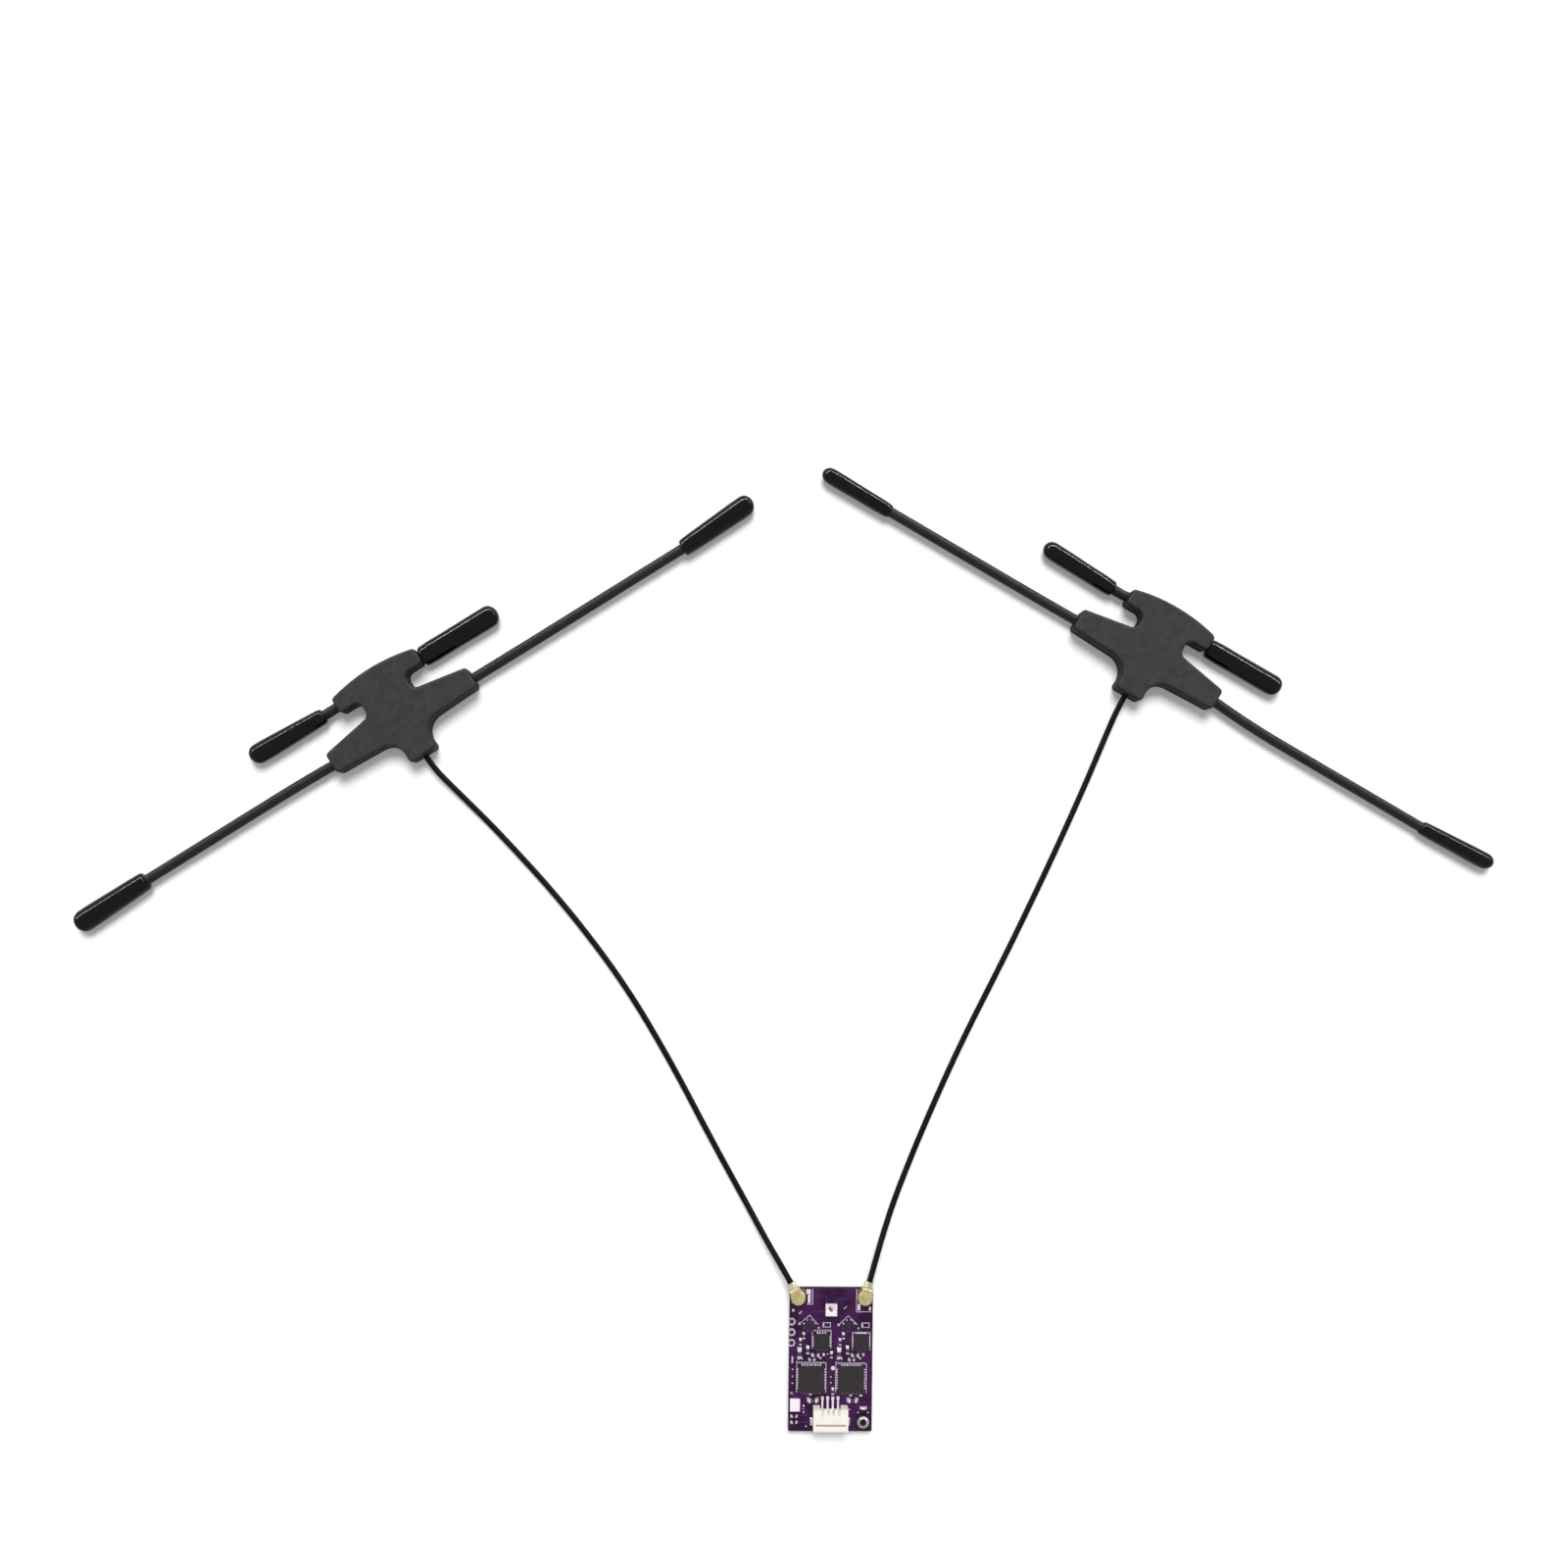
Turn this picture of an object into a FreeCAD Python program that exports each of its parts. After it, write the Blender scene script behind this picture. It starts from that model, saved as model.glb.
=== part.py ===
"""Two-aerial radio receiver: a small circuit board with two thin leads plugged on,
each lead running to a flat T-shaped aerial that has two long and two short arms.
Millimetres. The board lies along X and Y with its lead end towards +Y, and the
floor under the board is Z = 0, below the middle of the board."""
import FreeCAD
import Part
import Sketcher
import math
import os

DOC = FreeCAD.newDocument("receiver")
SHEET = DOC.addObject("Spreadsheet::Sheet", "sizes")

# Driving dimensions: name, millimetres or degrees, what it measures.
SIZES = [
    ("board_thickness", 1.0, "circuit board laminate"),
    ("board_corner", 0.35, "corner radius of the board"),
    ("edge_hole_radius", 0.3, "plated hole by the left edge"),
    ("edge_hole_inset", 0.45, "middle of the holes from the left edge"),
    ("edge_hole_pitch", 2.0, "from one hole to the next"),
    ("edge_hole_behind", 0.3, "first hole behind the middle of the amplifier chips"),
    ("edge_rim", 0.42, "width of the plated rim round a hole, cut off at the edge"),
    ("plating", 0.06, "thickness of the plating"),
    ("channel_pitch", 7.6, "from the left radio channel to the right one"),
    ("channel_shift", 0.1, "both radio channels, to the right of the board's middle"),
    ("edge_strip", 1.7, "board beside the radio chips, on either side"),
    ("radio_side", 5.0, "side of a radio chip"),
    ("radio_height", 0.85, "height of a radio chip"),
    ("radio_clear", 0.95, "pin tails to the radio chips"),
    ("parts_depth", 3.05, "radio chips to amplifier chips, small parts between them"),
    ("amplifier_side", 3.0, "side of an amplifier chip"),
    ("amplifier_height", 0.75, "height of an amplifier chip"),
    ("amplifier_aside", 1.9, "amplifier chip to the right of its channel"),
    ("filter_side", 2.0, "side of a filter"),
    ("filter_height", 0.6, "height of a filter"),
    ("filter_aside", 0.45, "filter to the left of its channel"),
    ("filter_clear", 0.0358, "amplifier chip to the nearest corner of the filter"),
    ("dimple_radius", 0.22, "moulded pin-one dimple"),
    ("dimple_depth", 0.08, "depth of the dimple"),
    ("dimple_inset", 0.65, "dimple from the two edges of its chip"),
    ("small_bevel", 0.08, "bevel of the ceramic aerial and of the parts under the board"),
    ("led_side", 2.2, "side of the status light"),
    ("led_height", 0.8, "height of the status light"),
    ("led_window", 0.85, "radius of the light's window"),
    ("led_floor", 0.3, "floor of the light's case under the window"),
    ("led_recess", 0.06, "resin lies this far below the rim"),
    ("led_clear", 0.5858, "filter's far corner to the status light"),
    ("driver_side", 0.42, "side of the driver die in the light"),
    ("driver_height", 0.15, "thickness of the driver die"),
    ("driver_aside", 0.25, "driver die from the centre of the light, both ways"),
    ("socket_width", 6.6, "power socket across"),
    ("socket_depth", 4.1, "power socket from rear face to side-wall ends"),
    ("socket_height", 2.9, "height of the power socket"),
    ("socket_wall", 0.5, "side wall of the socket"),
    ("socket_floor", 0.45, "floor and roof of the socket"),
    ("socket_rear", 1.3, "rear wall of the socket"),
    ("socket_cutback", 1.4, "roof stops this far behind the side walls"),
    ("socket_tongue", 0.7, "floor runs this far past the side walls"),
    ("socket_setback", 0.1, "end of the floor behind the board's edge"),
    ("pin_pitch", 1.0, "from one socket pin to the next"),
    ("pin_width", 0.36, "width of a pin"),
    ("pin_thickness", 0.2, "thickness of a pin"),
    ("pin_tail", 1.5, "tail on the board behind the socket"),
    ("pin_rise", 1.45, "underside of a pin's blade above the board"),
    ("pin_reach", 2.9, "blade from the rear face into the socket"),
    ("pin_recess", 0.7, "recess in the rear wall for the risers"),
    ("notch_reach", 1.05, "notch in the roof over a pin, from the rear face"),
    ("notch_width", 0.46, "width of that notch"),
    ("groove_aside", 2.65, "moulded groove in the roof from the socket's middle"),
    ("groove_width", 0.16, "width of the moulded groove"),
    ("groove_length", 0.8, "length of the moulded groove"),
    ("groove_depth", 0.15, "depth of the moulded groove"),
    ("groove_back", 0.6, "moulded groove from the rear face"),
    ("anchor_width", 1.2, "solder anchor along the side wall"),
    ("anchor_height", 0.9, "solder anchor up the side wall"),
    ("anchor_thickness", 0.18, "solder anchor sheet"),
    ("anchor_back", 2.5, "solder anchor from the rear face"),
    ("button_width", 2.4, "boot button across"),
    ("button_length", 3.0, "boot button lengthwise"),
    ("button_base", 0.6, "height of the button's base"),
    ("button_floor", 0.15, "floor under the snap dome"),
    ("button_well", 1.02, "radius of the well in the base"),
    ("button_cover", 0.1, "sheet of the button's cover"),
    ("button_collar", 0.95, "foot radius of the formed collar"),
    ("button_collar_rise", 0.2, "height of the formed collar"),
    ("plunger_radius", 0.5, "nub of the button"),
    ("plunger_gap", 0.08, "nub to collar"),
    ("plunger_flange", 0.92, "flange that keeps the nub in"),
    ("plunger_flange_height", 0.1, "thickness of the flange"),
    ("plunger_proud", 0.12, "nub above the collar"),
    ("plunger_play", 0.02, "flange below the cover"),
    ("dome_rise", 0.11, "rise of the snap dome"),
    ("dome_sheet", 0.05, "snap dome sheet"),
    ("button_inset", 1.7, "middle of the boot button from the board's right edge"),
    ("button_ahead", 1.9, "middle of the boot button from the socket end"),
    ("receptacle_inset", 1.6, "middle of a coax receptacle from the board's side edge"),
    ("receptacle_clear", 0.15, "status light to the receptacles, along the board"),
    ("receptacle_strip", 0.2, "board beyond the receptacles' bases"),
    ("receptacle_side", 2.6, "side of a receptacle's base"),
    ("receptacle_base", 0.4, "height of a receptacle's base"),
    ("ring_radius", 1.0, "outside of the receptacle's ring"),
    ("ring_wall", 0.14, "wall of the receptacle's ring"),
    ("ring_height", 1.55, "top of the ring above the board"),
    ("foot_width", 0.9, "foot of the ring"),
    ("foot_sheet", 0.12, "sheet of the ring's feet"),
    ("contact_radius", 0.25, "centre contact of the receptacle"),
    ("plug_radius", 1.36, "outside of the plug's cap"),
    ("plug_clearance", 0.02, "cap over ring"),
    ("plug_low", 0.6, "lower rim of the plug above the board"),
    ("plug_height", 1.5, "height of the plug's cap"),
    ("plug_top", 0.2, "top sheet of the plug"),
    ("plug_shoulder", 2.1, "width of the plug's shoulders"),
    ("plug_shoulder_reach", 1.85, "end of the shoulders from the plug's axis"),
    ("plug_crimp", 0.72, "radius of the crimp barrel"),
    ("plug_reach", 3.2, "end of the crimp barrel from the plug's axis"),
    ("plug_round", 0.22, "rounding of the plug's top edge"),
    ("lead_axis", 1.35, "lead's axis above the board at the plug"),
    ("plug_left_angle", 28.0, "left plug turned outwards"),
    ("plug_right_angle", 15.0, "right plug turned outwards"),
    ("patch_width", 1.9, "ceramic aerial across"),
    ("patch_length", 2.3, "ceramic aerial lengthwise"),
    ("patch_height", 0.7, "height of the ceramic aerial"),
    ("patch_inset", 1.25, "middle of the ceramic aerial from the board's left edge"),
    ("patch_ahead", 5.0, "middle of the ceramic aerial from the socket end"),
    ("controller_side", 7.0, "side of the microcontroller under the board"),
    ("controller_height", 0.9, "height of the microcontroller: the board rests on it"),
    ("regulator_side", 2.0, "side of the voltage regulator"),
    ("regulator_height", 0.75, "height of the voltage regulator"),
    ("coil_side", 2.5, "side of the power coil"),
    ("coil_height", 0.8, "height of the power coil"),
    ("clock_width", 2.0, "clock crystal can across"),
    ("clock_length", 2.5, "clock crystal can lengthwise"),
    ("clock_height", 0.7, "height of a clock crystal can"),
    ("under_clear", 1.25, "microcontroller to the rows of parts before and behind it"),
    ("regulator_aside", 5.5, "voltage regulator to the left of the middle"),
    ("coil_aside", 2.2, "power coil to the left of the middle"),
    ("long_reach", 15.8, "end of a long boss from the aerial's middle"),
    ("long_boss_low", 2.15, "long boss below its wire"),
    ("long_boss_high", 2.2, "long boss above its wire"),
    ("long_root_high", 4.1, "root of the long boss above its wire"),
    ("long_root_low", 2.7, "root of the long boss below its wire"),
    ("short_reach", 9.3, "end of a short boss from the aerial's middle"),
    ("short_offset", 9.3, "short wires from the long wires"),
    ("short_boss_low", 1.95, "short boss below its wire"),
    ("short_boss_high", 1.35, "short boss above its wire, at its end"),
    ("crown", 11.9, "top of the housing's crown from the long wires"),
    ("notch_end", 5.0, "inner end of the notch from the aerial's middle"),
    ("neck_length", 7.9, "end of the neck from the long wires"),
    ("neck_end_half", 3.05, "half width of the neck at its end"),
    ("neck_root_half", 2.5, "half width of the neck at its root"),
    ("boss_round", 0.85, "corner radius of the bosses"),
    ("notch_round", 1.35, "inner radius of the notches"),
    ("waist_round", 3.6, "hollow between the neck and the long arms"),
    ("base_height", 1.8, "lower shell: up to the wires' axis"),
    ("cover_height", 2.7, "upper shell, above the wires' axis"),
    ("cover_round", 0.6, "rounding of the upper shell's top edge"),
    ("base_bevel", 0.25, "bevel of the lower shell's bottom edge"),
    ("seam_chamfer", 0.2, "bevel along the seam of the two shells"),
    ("feed_half_width", 3.7, "half width of the feed board"),
    ("feed_low", 1.5, "feed board below the long wires"),
    ("feed_high", 10.2, "feed board above the long wires"),
    ("feed_thickness", 0.8, "feed board laminate"),
    ("feed_room", 0.2, "room round the feed board"),
    ("cavity_height", 0.9, "room above and below the wires' axis"),
    ("wire_radius", 0.95, "insulated aerial wire"),
    ("cap_radius", 1.78, "outside of an end cap at its closed end"),
    ("cap_mouth", 1.55, "outside of an end cap at its mouth"),
    ("cap_lip", 0.2, "bevel of the cap's mouth"),
    ("cap_length", 16.0, "length of an end cap"),
    ("cap_solid", 2.5, "solid end of a cap beyond its wire"),
    ("cap_round", 1.5, "rounding of an end cap's closed end"),
    ("long_tip_a", 73.4, "tip of the first long arm from the aerial's middle"),
    ("long_tip_b", 79.4, "tip of the second long arm"),
    ("short_tip_a", 28.4, "tip of the first short arm"),
    ("short_tip_b", 25.6, "tip of the second short arm"),
    ("lead_radius", 0.565, "coax lead"),
    ("lead_braid", 0.42, "bared braid in the neck"),
    ("lead_core", 0.15, "bared core in the neck"),
    ("lead_braid_length", 1.6, "length of the bared braid"),
    ("lead_core_length", 1.0, "length of the bared core"),
    ("left_aerial_x", -84.1, "middle of the left aerial"),
    ("left_aerial_y", 121.3, "middle of the left aerial"),
    ("left_aerial_angle", 33.15, "left aerial turned anticlockwise"),
    ("right_aerial_x", 60.4, "middle of the right aerial"),
    ("right_aerial_y", 135.5, "middle of the right aerial"),
    ("right_aerial_angle", -29.6, "right aerial turned anticlockwise"),
]

# What follows from them: name, formula, what it measures. The board is as long as the
# rows that it carries, counted from its socket end, and as wide as its two channels.
DERIVED = [
    ("radio_row", "socket_setback + socket_tongue + socket_depth + pin_tail + radio_clear"
     " + radio_side / 2", "middle of the radio chips"),
    ("amplifier_row", "radio_row + radio_side / 2 + parts_depth + amplifier_side / 2",
     "middle of the amplifier chips"),
    ("filter_row", "amplifier_row + amplifier_side / 2 + filter_clear + filter_side / sqrt(2)",
     "middle of the filters"),
    ("led_row", "filter_row + filter_side / sqrt(2) + led_clear + led_side / 2",
     "middle of the status light"),
    ("receptacle_row", "led_row + led_side / 2 + receptacle_clear + receptacle_side / 2",
     "middle of the coax receptacles"),
    ("board_length", "receptacle_row + receptacle_side / 2 + receptacle_strip",
     "circuit board from the socket end to the lead end"),
    ("board_width", "channel_pitch + radio_side + 2 * edge_strip", "circuit board across"),
    ("cap_bore", "cap_length - cap_solid", "depth of an end cap's bore"),
]

BOARD_TOP = "(sizes.controller_height + sizes.board_thickness)"
SOCKET_END = "(-sizes.board_length / 2)"
LEFT_EDGE = "(-sizes.board_width / 2)"
RIGHT_EDGE = "(sizes.board_width / 2)"
LEFT_CHANNEL = "(sizes.channel_shift - sizes.channel_pitch / 2)"
RIGHT_CHANNEL = "(sizes.channel_shift + sizes.channel_pitch / 2)"
TOLERANCE = 1e-5

# Points that the two leads pass, chosen along the leads as they lie.
LEFT_LEAD = [
    (-78.22, 112.3, 1.78),
    (-73.3, 107.5, 0.9),
    (-65.6, 100.1, 0.57),
    (-52.9, 86.6, 0.57),
    (-41.2, 71.8, 0.57),
    (-32.0, 57.0, 0.57),
    (-23.4, 41.2, 0.57),
    (-16.3, 28.8, 0.75),
    (-12.6, 22.4, 1.75),
    (-9.9, 18.2, 3.0),
]
RIGHT_LEAD = [
    (54.95, 125.9, 1.78),
    (52.7, 120.2, 0.9),
    (48.6, 110.2, 0.57),
    (41.6, 94.6, 0.57),
    (33.2, 77.0, 0.57),
    (24.7, 60.2, 0.57),
    (17.7, 44.4, 0.57),
    (12.4, 31.2, 0.7),
    (10.0, 24.2, 1.6),
    (8.3, 18.9, 2.95),
]


def fill_sheet():
    formulas = [(alias, "=" + formula, meaning) for alias, formula, meaning in DERIVED]
    for row, (alias, value, meaning) in enumerate(SIZES + formulas, 1):
        SHEET.set("A%d" % row, meaning)
        SHEET.set("B%d" % row, str(value))
        SHEET.setAlias("B%d" % row, alias)
    DOC.recompute()


def number(expression):
    """Value of an expression on the sheet."""
    return float(SHEET.evalExpression(expression))


def place(item, x="0", y="0", z="0", turn="0"):
    """Bind an object's place and its turn about Z to the sheet."""
    item.Placement = FreeCAD.Placement(
        FreeCAD.Vector(number(x), number(y), number(z)),
        FreeCAD.Rotation(FreeCAD.Vector(0, 0, 1), number(turn)))
    item.setExpression("Placement.Base.x", x)
    item.setExpression("Placement.Base.y", y)
    item.setExpression("Placement.Base.z", z)
    if turn != "0":
        item.setExpression("Placement.Rotation.Angle", turn)
    return item


def new_body(label):
    body = DOC.addObject("PartDesign::Body", label)
    body.Label = label
    return body


def plane(body, role):
    return next(item for item in body.Origin.OriginFeatures if item.Role == role)


def sketch_on(body, role="XY_Plane", x="0", y="0", lift="0", turn=0):
    """Sketch on one of the body's own planes, shifted within it and lifted off it."""
    sketch = body.newObject("Sketcher::SketchObject", body.Label + "_sketch")
    sketch.AttachmentSupport = [(plane(body, role), "")]
    sketch.MapMode = "FlatFace"
    sketch.AttachmentOffset = FreeCAD.Placement(
        FreeCAD.Vector(number(x), number(y), number(lift)),
        FreeCAD.Rotation(FreeCAD.Vector(0, 0, 1), turn))
    for axis, expression in (("x", x), ("y", y), ("z", lift)):
        if expression != "0":
            sketch.setExpression("AttachmentOffset.Base." + axis, expression)
    return sketch


def hold(sketch, kind, geometry, position, expression):
    """Tie one coordinate of a point to an expression, or to the axis where it is nought."""
    if expression == "0":
        axis = -2 if kind == "DistanceX" else -1
        sketch.addConstraint(Sketcher.Constraint("PointOnObject", geometry, position, axis))
        return
    index = sketch.addConstraint(
        Sketcher.Constraint(kind, -1, 1, geometry, position, number(expression)))
    sketch.setExpression("Constraints[%d]" % index, expression)


def rectangle(sketch, width, depth):
    """Rectangle centred on the sketch's origin."""
    x = number(width) / 2
    y = number(depth) / 2
    corners = [(-x, -y), (x, -y), (x, y), (-x, y)]
    first = sketch.GeometryCount
    for start, end in zip(corners, corners[1:] + corners[:1]):
        sketch.addGeometry(Part.LineSegment(FreeCAD.Vector(*start, 0), FreeCAD.Vector(*end, 0)))
    for side in range(4):
        following = first + (side + 1) % 4
        sketch.addConstraint(Sketcher.Constraint("Coincident", first + side, 2, following, 1))
        kind = "Horizontal" if side % 2 == 0 else "Vertical"
        sketch.addConstraint(Sketcher.Constraint(kind, first + side))
    sketch.addConstraint(Sketcher.Constraint("Symmetric", first, 1, first + 1, 2, -1, 1))
    for kind, side, expression in (("DistanceX", 0, width), ("DistanceY", 1, depth)):
        index = sketch.addConstraint(Sketcher.Constraint(
            kind, first + side, 1, first + side, 2, number(expression)))
        sketch.setExpression("Constraints[%d]" % index, expression)


def circle(sketch, radius, x="0", y="0"):
    centre = FreeCAD.Vector(number(x), number(y), 0)
    index = sketch.addGeometry(
        Part.Circle(centre, FreeCAD.Vector(0, 0, 1), number(radius)))
    hold(sketch, "DistanceX", index, 3, x)
    hold(sketch, "DistanceY", index, 3, y)
    size = sketch.addConstraint(Sketcher.Constraint("Radius", index, number(radius)))
    sketch.setExpression("Constraints[%d]" % size, radius)


def outline(sketch, corners, arc_side=None, arc_middle=None):
    """Closed outline through corners given as expressions; one side may be an arc
    whose centre lies on the sketch's Y axis."""
    points = [FreeCAD.Vector(number(x), number(y), 0) for x, y in corners]
    count = len(points)
    for side in range(count):
        start = points[side]
        end = points[(side + 1) % count]
        if side == arc_side:
            sketch.addGeometry(Part.Arc(start, arc_middle, end))
        else:
            sketch.addGeometry(Part.LineSegment(start, end))
    for side in range(count):
        following = (side + 1) % count
        sketch.addConstraint(Sketcher.Constraint("Coincident", side, 2, following, 1))
    for side, (x, y) in enumerate(corners):
        hold(sketch, "DistanceX", side, 1, x)
        hold(sketch, "DistanceY", side, 1, y)
    if arc_side is not None:
        sketch.addConstraint(Sketcher.Constraint("PointOnObject", arc_side, 3, -2))


def pad(body, sketch, length, both_ways=False, backwards=False):
    feature = body.newObject("PartDesign::Pad", body.Label + "_pad")
    feature.Profile = sketch
    feature.setExpression("Length", length)
    feature.Midplane = both_ways
    feature.Reversed = backwards
    body.Tip = feature
    DOC.recompute()
    return feature


def pocket(body, sketch, length=None, both_ways=False, backwards=False):
    """Cut a sketch into the body, to a depth or through all of it."""
    before = body.Shape.Volume
    feature = body.newObject("PartDesign::Pocket", body.Label + "_pocket")
    feature.Profile = sketch
    if length is None:
        feature.Type = "ThroughAll"
    else:
        feature.setExpression("Length", length)
    feature.Midplane = both_ways
    feature.Reversed = backwards
    body.Tip = feature
    DOC.recompute()
    if not body.Shape.Volume < before:
        raise RuntimeError(body.Label + ": a pocket cuts nothing")
    return feature


def revolve(body, sketch, axis="V_Axis"):
    feature = body.newObject("PartDesign::Revolution", body.Label + "_turned")
    feature.Profile = sketch
    feature.ReferenceAxis = (sketch, [axis])
    feature.Angle = 360.0
    body.Tip = feature
    DOC.recompute()
    return feature


def mirror(body, features, role):
    feature = body.newObject("PartDesign::Mirrored", body.Label + "_mirrored")
    feature.Originals = features
    feature.MirrorPlane = (plane(body, role), [""])
    body.Tip = feature
    DOC.recompute()
    return feature


def row_of(body, features, axis, pitch, count):
    """Repeat features along one of the body's own axes."""
    feature = body.newObject("PartDesign::LinearPattern", body.Label + "_row")
    feature.Originals = features
    feature.Direction = (plane(body, axis), [""])
    feature.Occurrences = count
    feature.setExpression("Length", "%s * %d" % (pitch, count - 1))
    body.Tip = feature
    DOC.recompute()
    return feature


def round_edges(body, chosen, radius, kind="Fillet"):
    """Fillet or chamfer the edges of the body that the test picks."""
    base = body.Tip
    names = ["Edge%d" % i for i, edge in enumerate(body.Shape.Edges, 1) if chosen(edge)]
    if not names:
        raise RuntimeError(body.Label + ": no edge to round")
    feature = body.newObject("PartDesign::" + kind, body.Label + "_" + kind.lower())
    feature.Base = (base, names)
    feature.setExpression("Radius" if kind == "Fillet" else "Size", radius)
    body.Tip = feature
    DOC.recompute()
    return feature


def level(z):
    """Test for edges that lie wholly at one height."""
    height = number(z)
    return lambda edge: (abs(edge.BoundBox.ZMin - height) < TOLERANCE
                         and abs(edge.BoundBox.ZMax - height) < TOLERANCE)


def upright_at(spots):
    """Test for upright edges that stand at the given points."""
    places = [(number(x), number(y)) for x, y in spots]

    def test(edge):
        box = edge.BoundBox
        if box.XLength > TOLERANCE or box.YLength > TOLERANCE:
            return False
        return any(math.hypot(box.XMin - x, box.YMin - y) < TOLERANCE for x, y in places)
    return test


def ring_at(x, radius):
    """Test for the circle of one radius that stands across X at one place."""
    def test(edge):
        box = edge.BoundBox
        return (abs(box.XMin - x) < TOLERANCE and box.XLength < TOLERANCE
                and abs(box.ZLength - 2 * number(radius)) < TOLERANCE)
    return test


def upright(edge):
    return edge.BoundBox.XLength < TOLERANCE and edge.BoundBox.YLength < TOLERANCE


def group(label, members):
    """Several separate solids kept as one sub-part."""
    compound = DOC.addObject("Part::Compound", label)
    compound.Label = label
    compound.Links = members
    DOC.recompute()
    return compound


def circuit_board():
    """Laminate with three holes close to its left edge."""
    body = new_body("circuit_board")
    sketch = sketch_on(body)
    rectangle(sketch, "sizes.board_width", "sizes.board_length")
    pad(body, sketch, "sizes.board_thickness")
    round_edges(body, upright, "sizes.board_corner")
    holes = sketch_on(body, x=LEFT_EDGE + " + sizes.edge_hole_inset",
                      y=SOCKET_END + " + sizes.amplifier_row - sizes.edge_hole_behind")
    circle(holes, "sizes.edge_hole_radius + sizes.plating")
    cut = pocket(body, holes, both_ways=True)
    row_of(body, [cut], "Y_Axis", "sizes.edge_hole_pitch", 3)
    return place(body, z="sizes.controller_height")


def edge_contact(index):
    """Plating of one hole: a tube with a rim on each face, cut off at the board's edge."""
    body = new_body("edge_contact_%d" % index)
    sketch = sketch_on(body, "XZ_Plane")
    inner = "sizes.edge_hole_radius"
    wall = "(sizes.edge_hole_radius + sizes.plating)"
    rim = "(sizes.edge_hole_radius + sizes.edge_rim)"
    low = "sizes.plating"
    high = "(sizes.plating + sizes.board_thickness)"
    top = "(2 * sizes.plating + sizes.board_thickness)"
    outline(sketch, [(inner, "0"), (rim, "0"), (rim, low), (wall, low),
                     (wall, high), (rim, high), (rim, top), (inner, top)])
    revolve(body, sketch)
    beyond = sketch_on(body, x="-(sizes.edge_hole_inset + %s)" % rim)
    rectangle(beyond, "2 * " + rim, "2 * " + rim)
    pocket(body, beyond, both_ways=True)
    first = SOCKET_END + " + sizes.amplifier_row - sizes.edge_hole_behind"
    return place(body, x=LEFT_EDGE + " + sizes.edge_hole_inset",
                 y="%s + %d * sizes.edge_hole_pitch" % (first, index),
                 z="sizes.controller_height - sizes.plating")


def edge_contacts():
    return group("edge_contacts", [edge_contact(index) for index in range(3)])


def moulded_chip(label, side, height, x, y, turn="0", z=BOARD_TOP):
    """Square moulded chip with a pin-one dimple near one corner."""
    body = new_body(label)
    sketch = sketch_on(body)
    rectangle(sketch, side, side)
    pad(body, sketch, height)
    corner = "%s / 2 - sizes.dimple_inset" % side
    dimple = sketch_on(body, x="-(%s)" % corner, y=corner, lift=height)
    circle(dimple, "sizes.dimple_radius")
    pocket(body, dimple, "sizes.dimple_depth")
    return place(body, x, y, z, turn)


def channel_chips(side, channel):
    """Radio chip, amplifier chip and filter of one radio channel."""
    radio = moulded_chip("radio_chip_" + side, "sizes.radio_side", "sizes.radio_height",
                         channel, SOCKET_END + " + sizes.radio_row")
    amplifier = moulded_chip("amplifier_chip_" + side, "sizes.amplifier_side",
                             "sizes.amplifier_height",
                             channel + " + sizes.amplifier_aside",
                             SOCKET_END + " + sizes.amplifier_row")
    filter_chip = moulded_chip("filter_" + side, "sizes.filter_side", "sizes.filter_height",
                               channel + " - sizes.filter_aside",
                               SOCKET_END + " + sizes.filter_row", "45")
    return [radio, amplifier, filter_chip]


def status_light():
    """White case with a round window, its driver die, and the clear resin over it."""
    row = SOCKET_END + " + sizes.led_row"
    case = new_body("status_light_case")
    sketch = sketch_on(case)
    rectangle(sketch, "sizes.led_side", "sizes.led_side")
    pad(case, sketch, "sizes.led_height")
    window = sketch_on(case, lift="sizes.led_height")
    circle(window, "sizes.led_window")
    pocket(case, window, "sizes.led_height - sizes.led_floor")
    place(case, y=row, z=BOARD_TOP)

    driver = new_body("status_light_driver")
    square = sketch_on(driver)
    rectangle(square, "sizes.driver_side", "sizes.driver_side")
    pad(driver, square, "sizes.driver_height")
    place(driver, "-sizes.driver_aside", row + " + sizes.driver_aside",
          BOARD_TOP + " + sizes.led_floor")

    resin = new_body("status_light_resin")
    disc = sketch_on(resin)
    circle(disc, "sizes.led_window")
    pad(resin, disc, "sizes.led_height - sizes.led_floor - sizes.led_recess")
    seat = sketch_on(resin, x="-sizes.driver_aside", y="sizes.driver_aside")
    rectangle(seat, "sizes.driver_side", "sizes.driver_side")
    pocket(resin, seat, "sizes.driver_height", backwards=True)
    place(resin, y=row, z=BOARD_TOP + " + sizes.led_floor")
    return [case, driver, resin]


SOCKET_REAR = ("(%s + sizes.socket_setback + sizes.socket_tongue + sizes.socket_depth)"
               % SOCKET_END)


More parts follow.
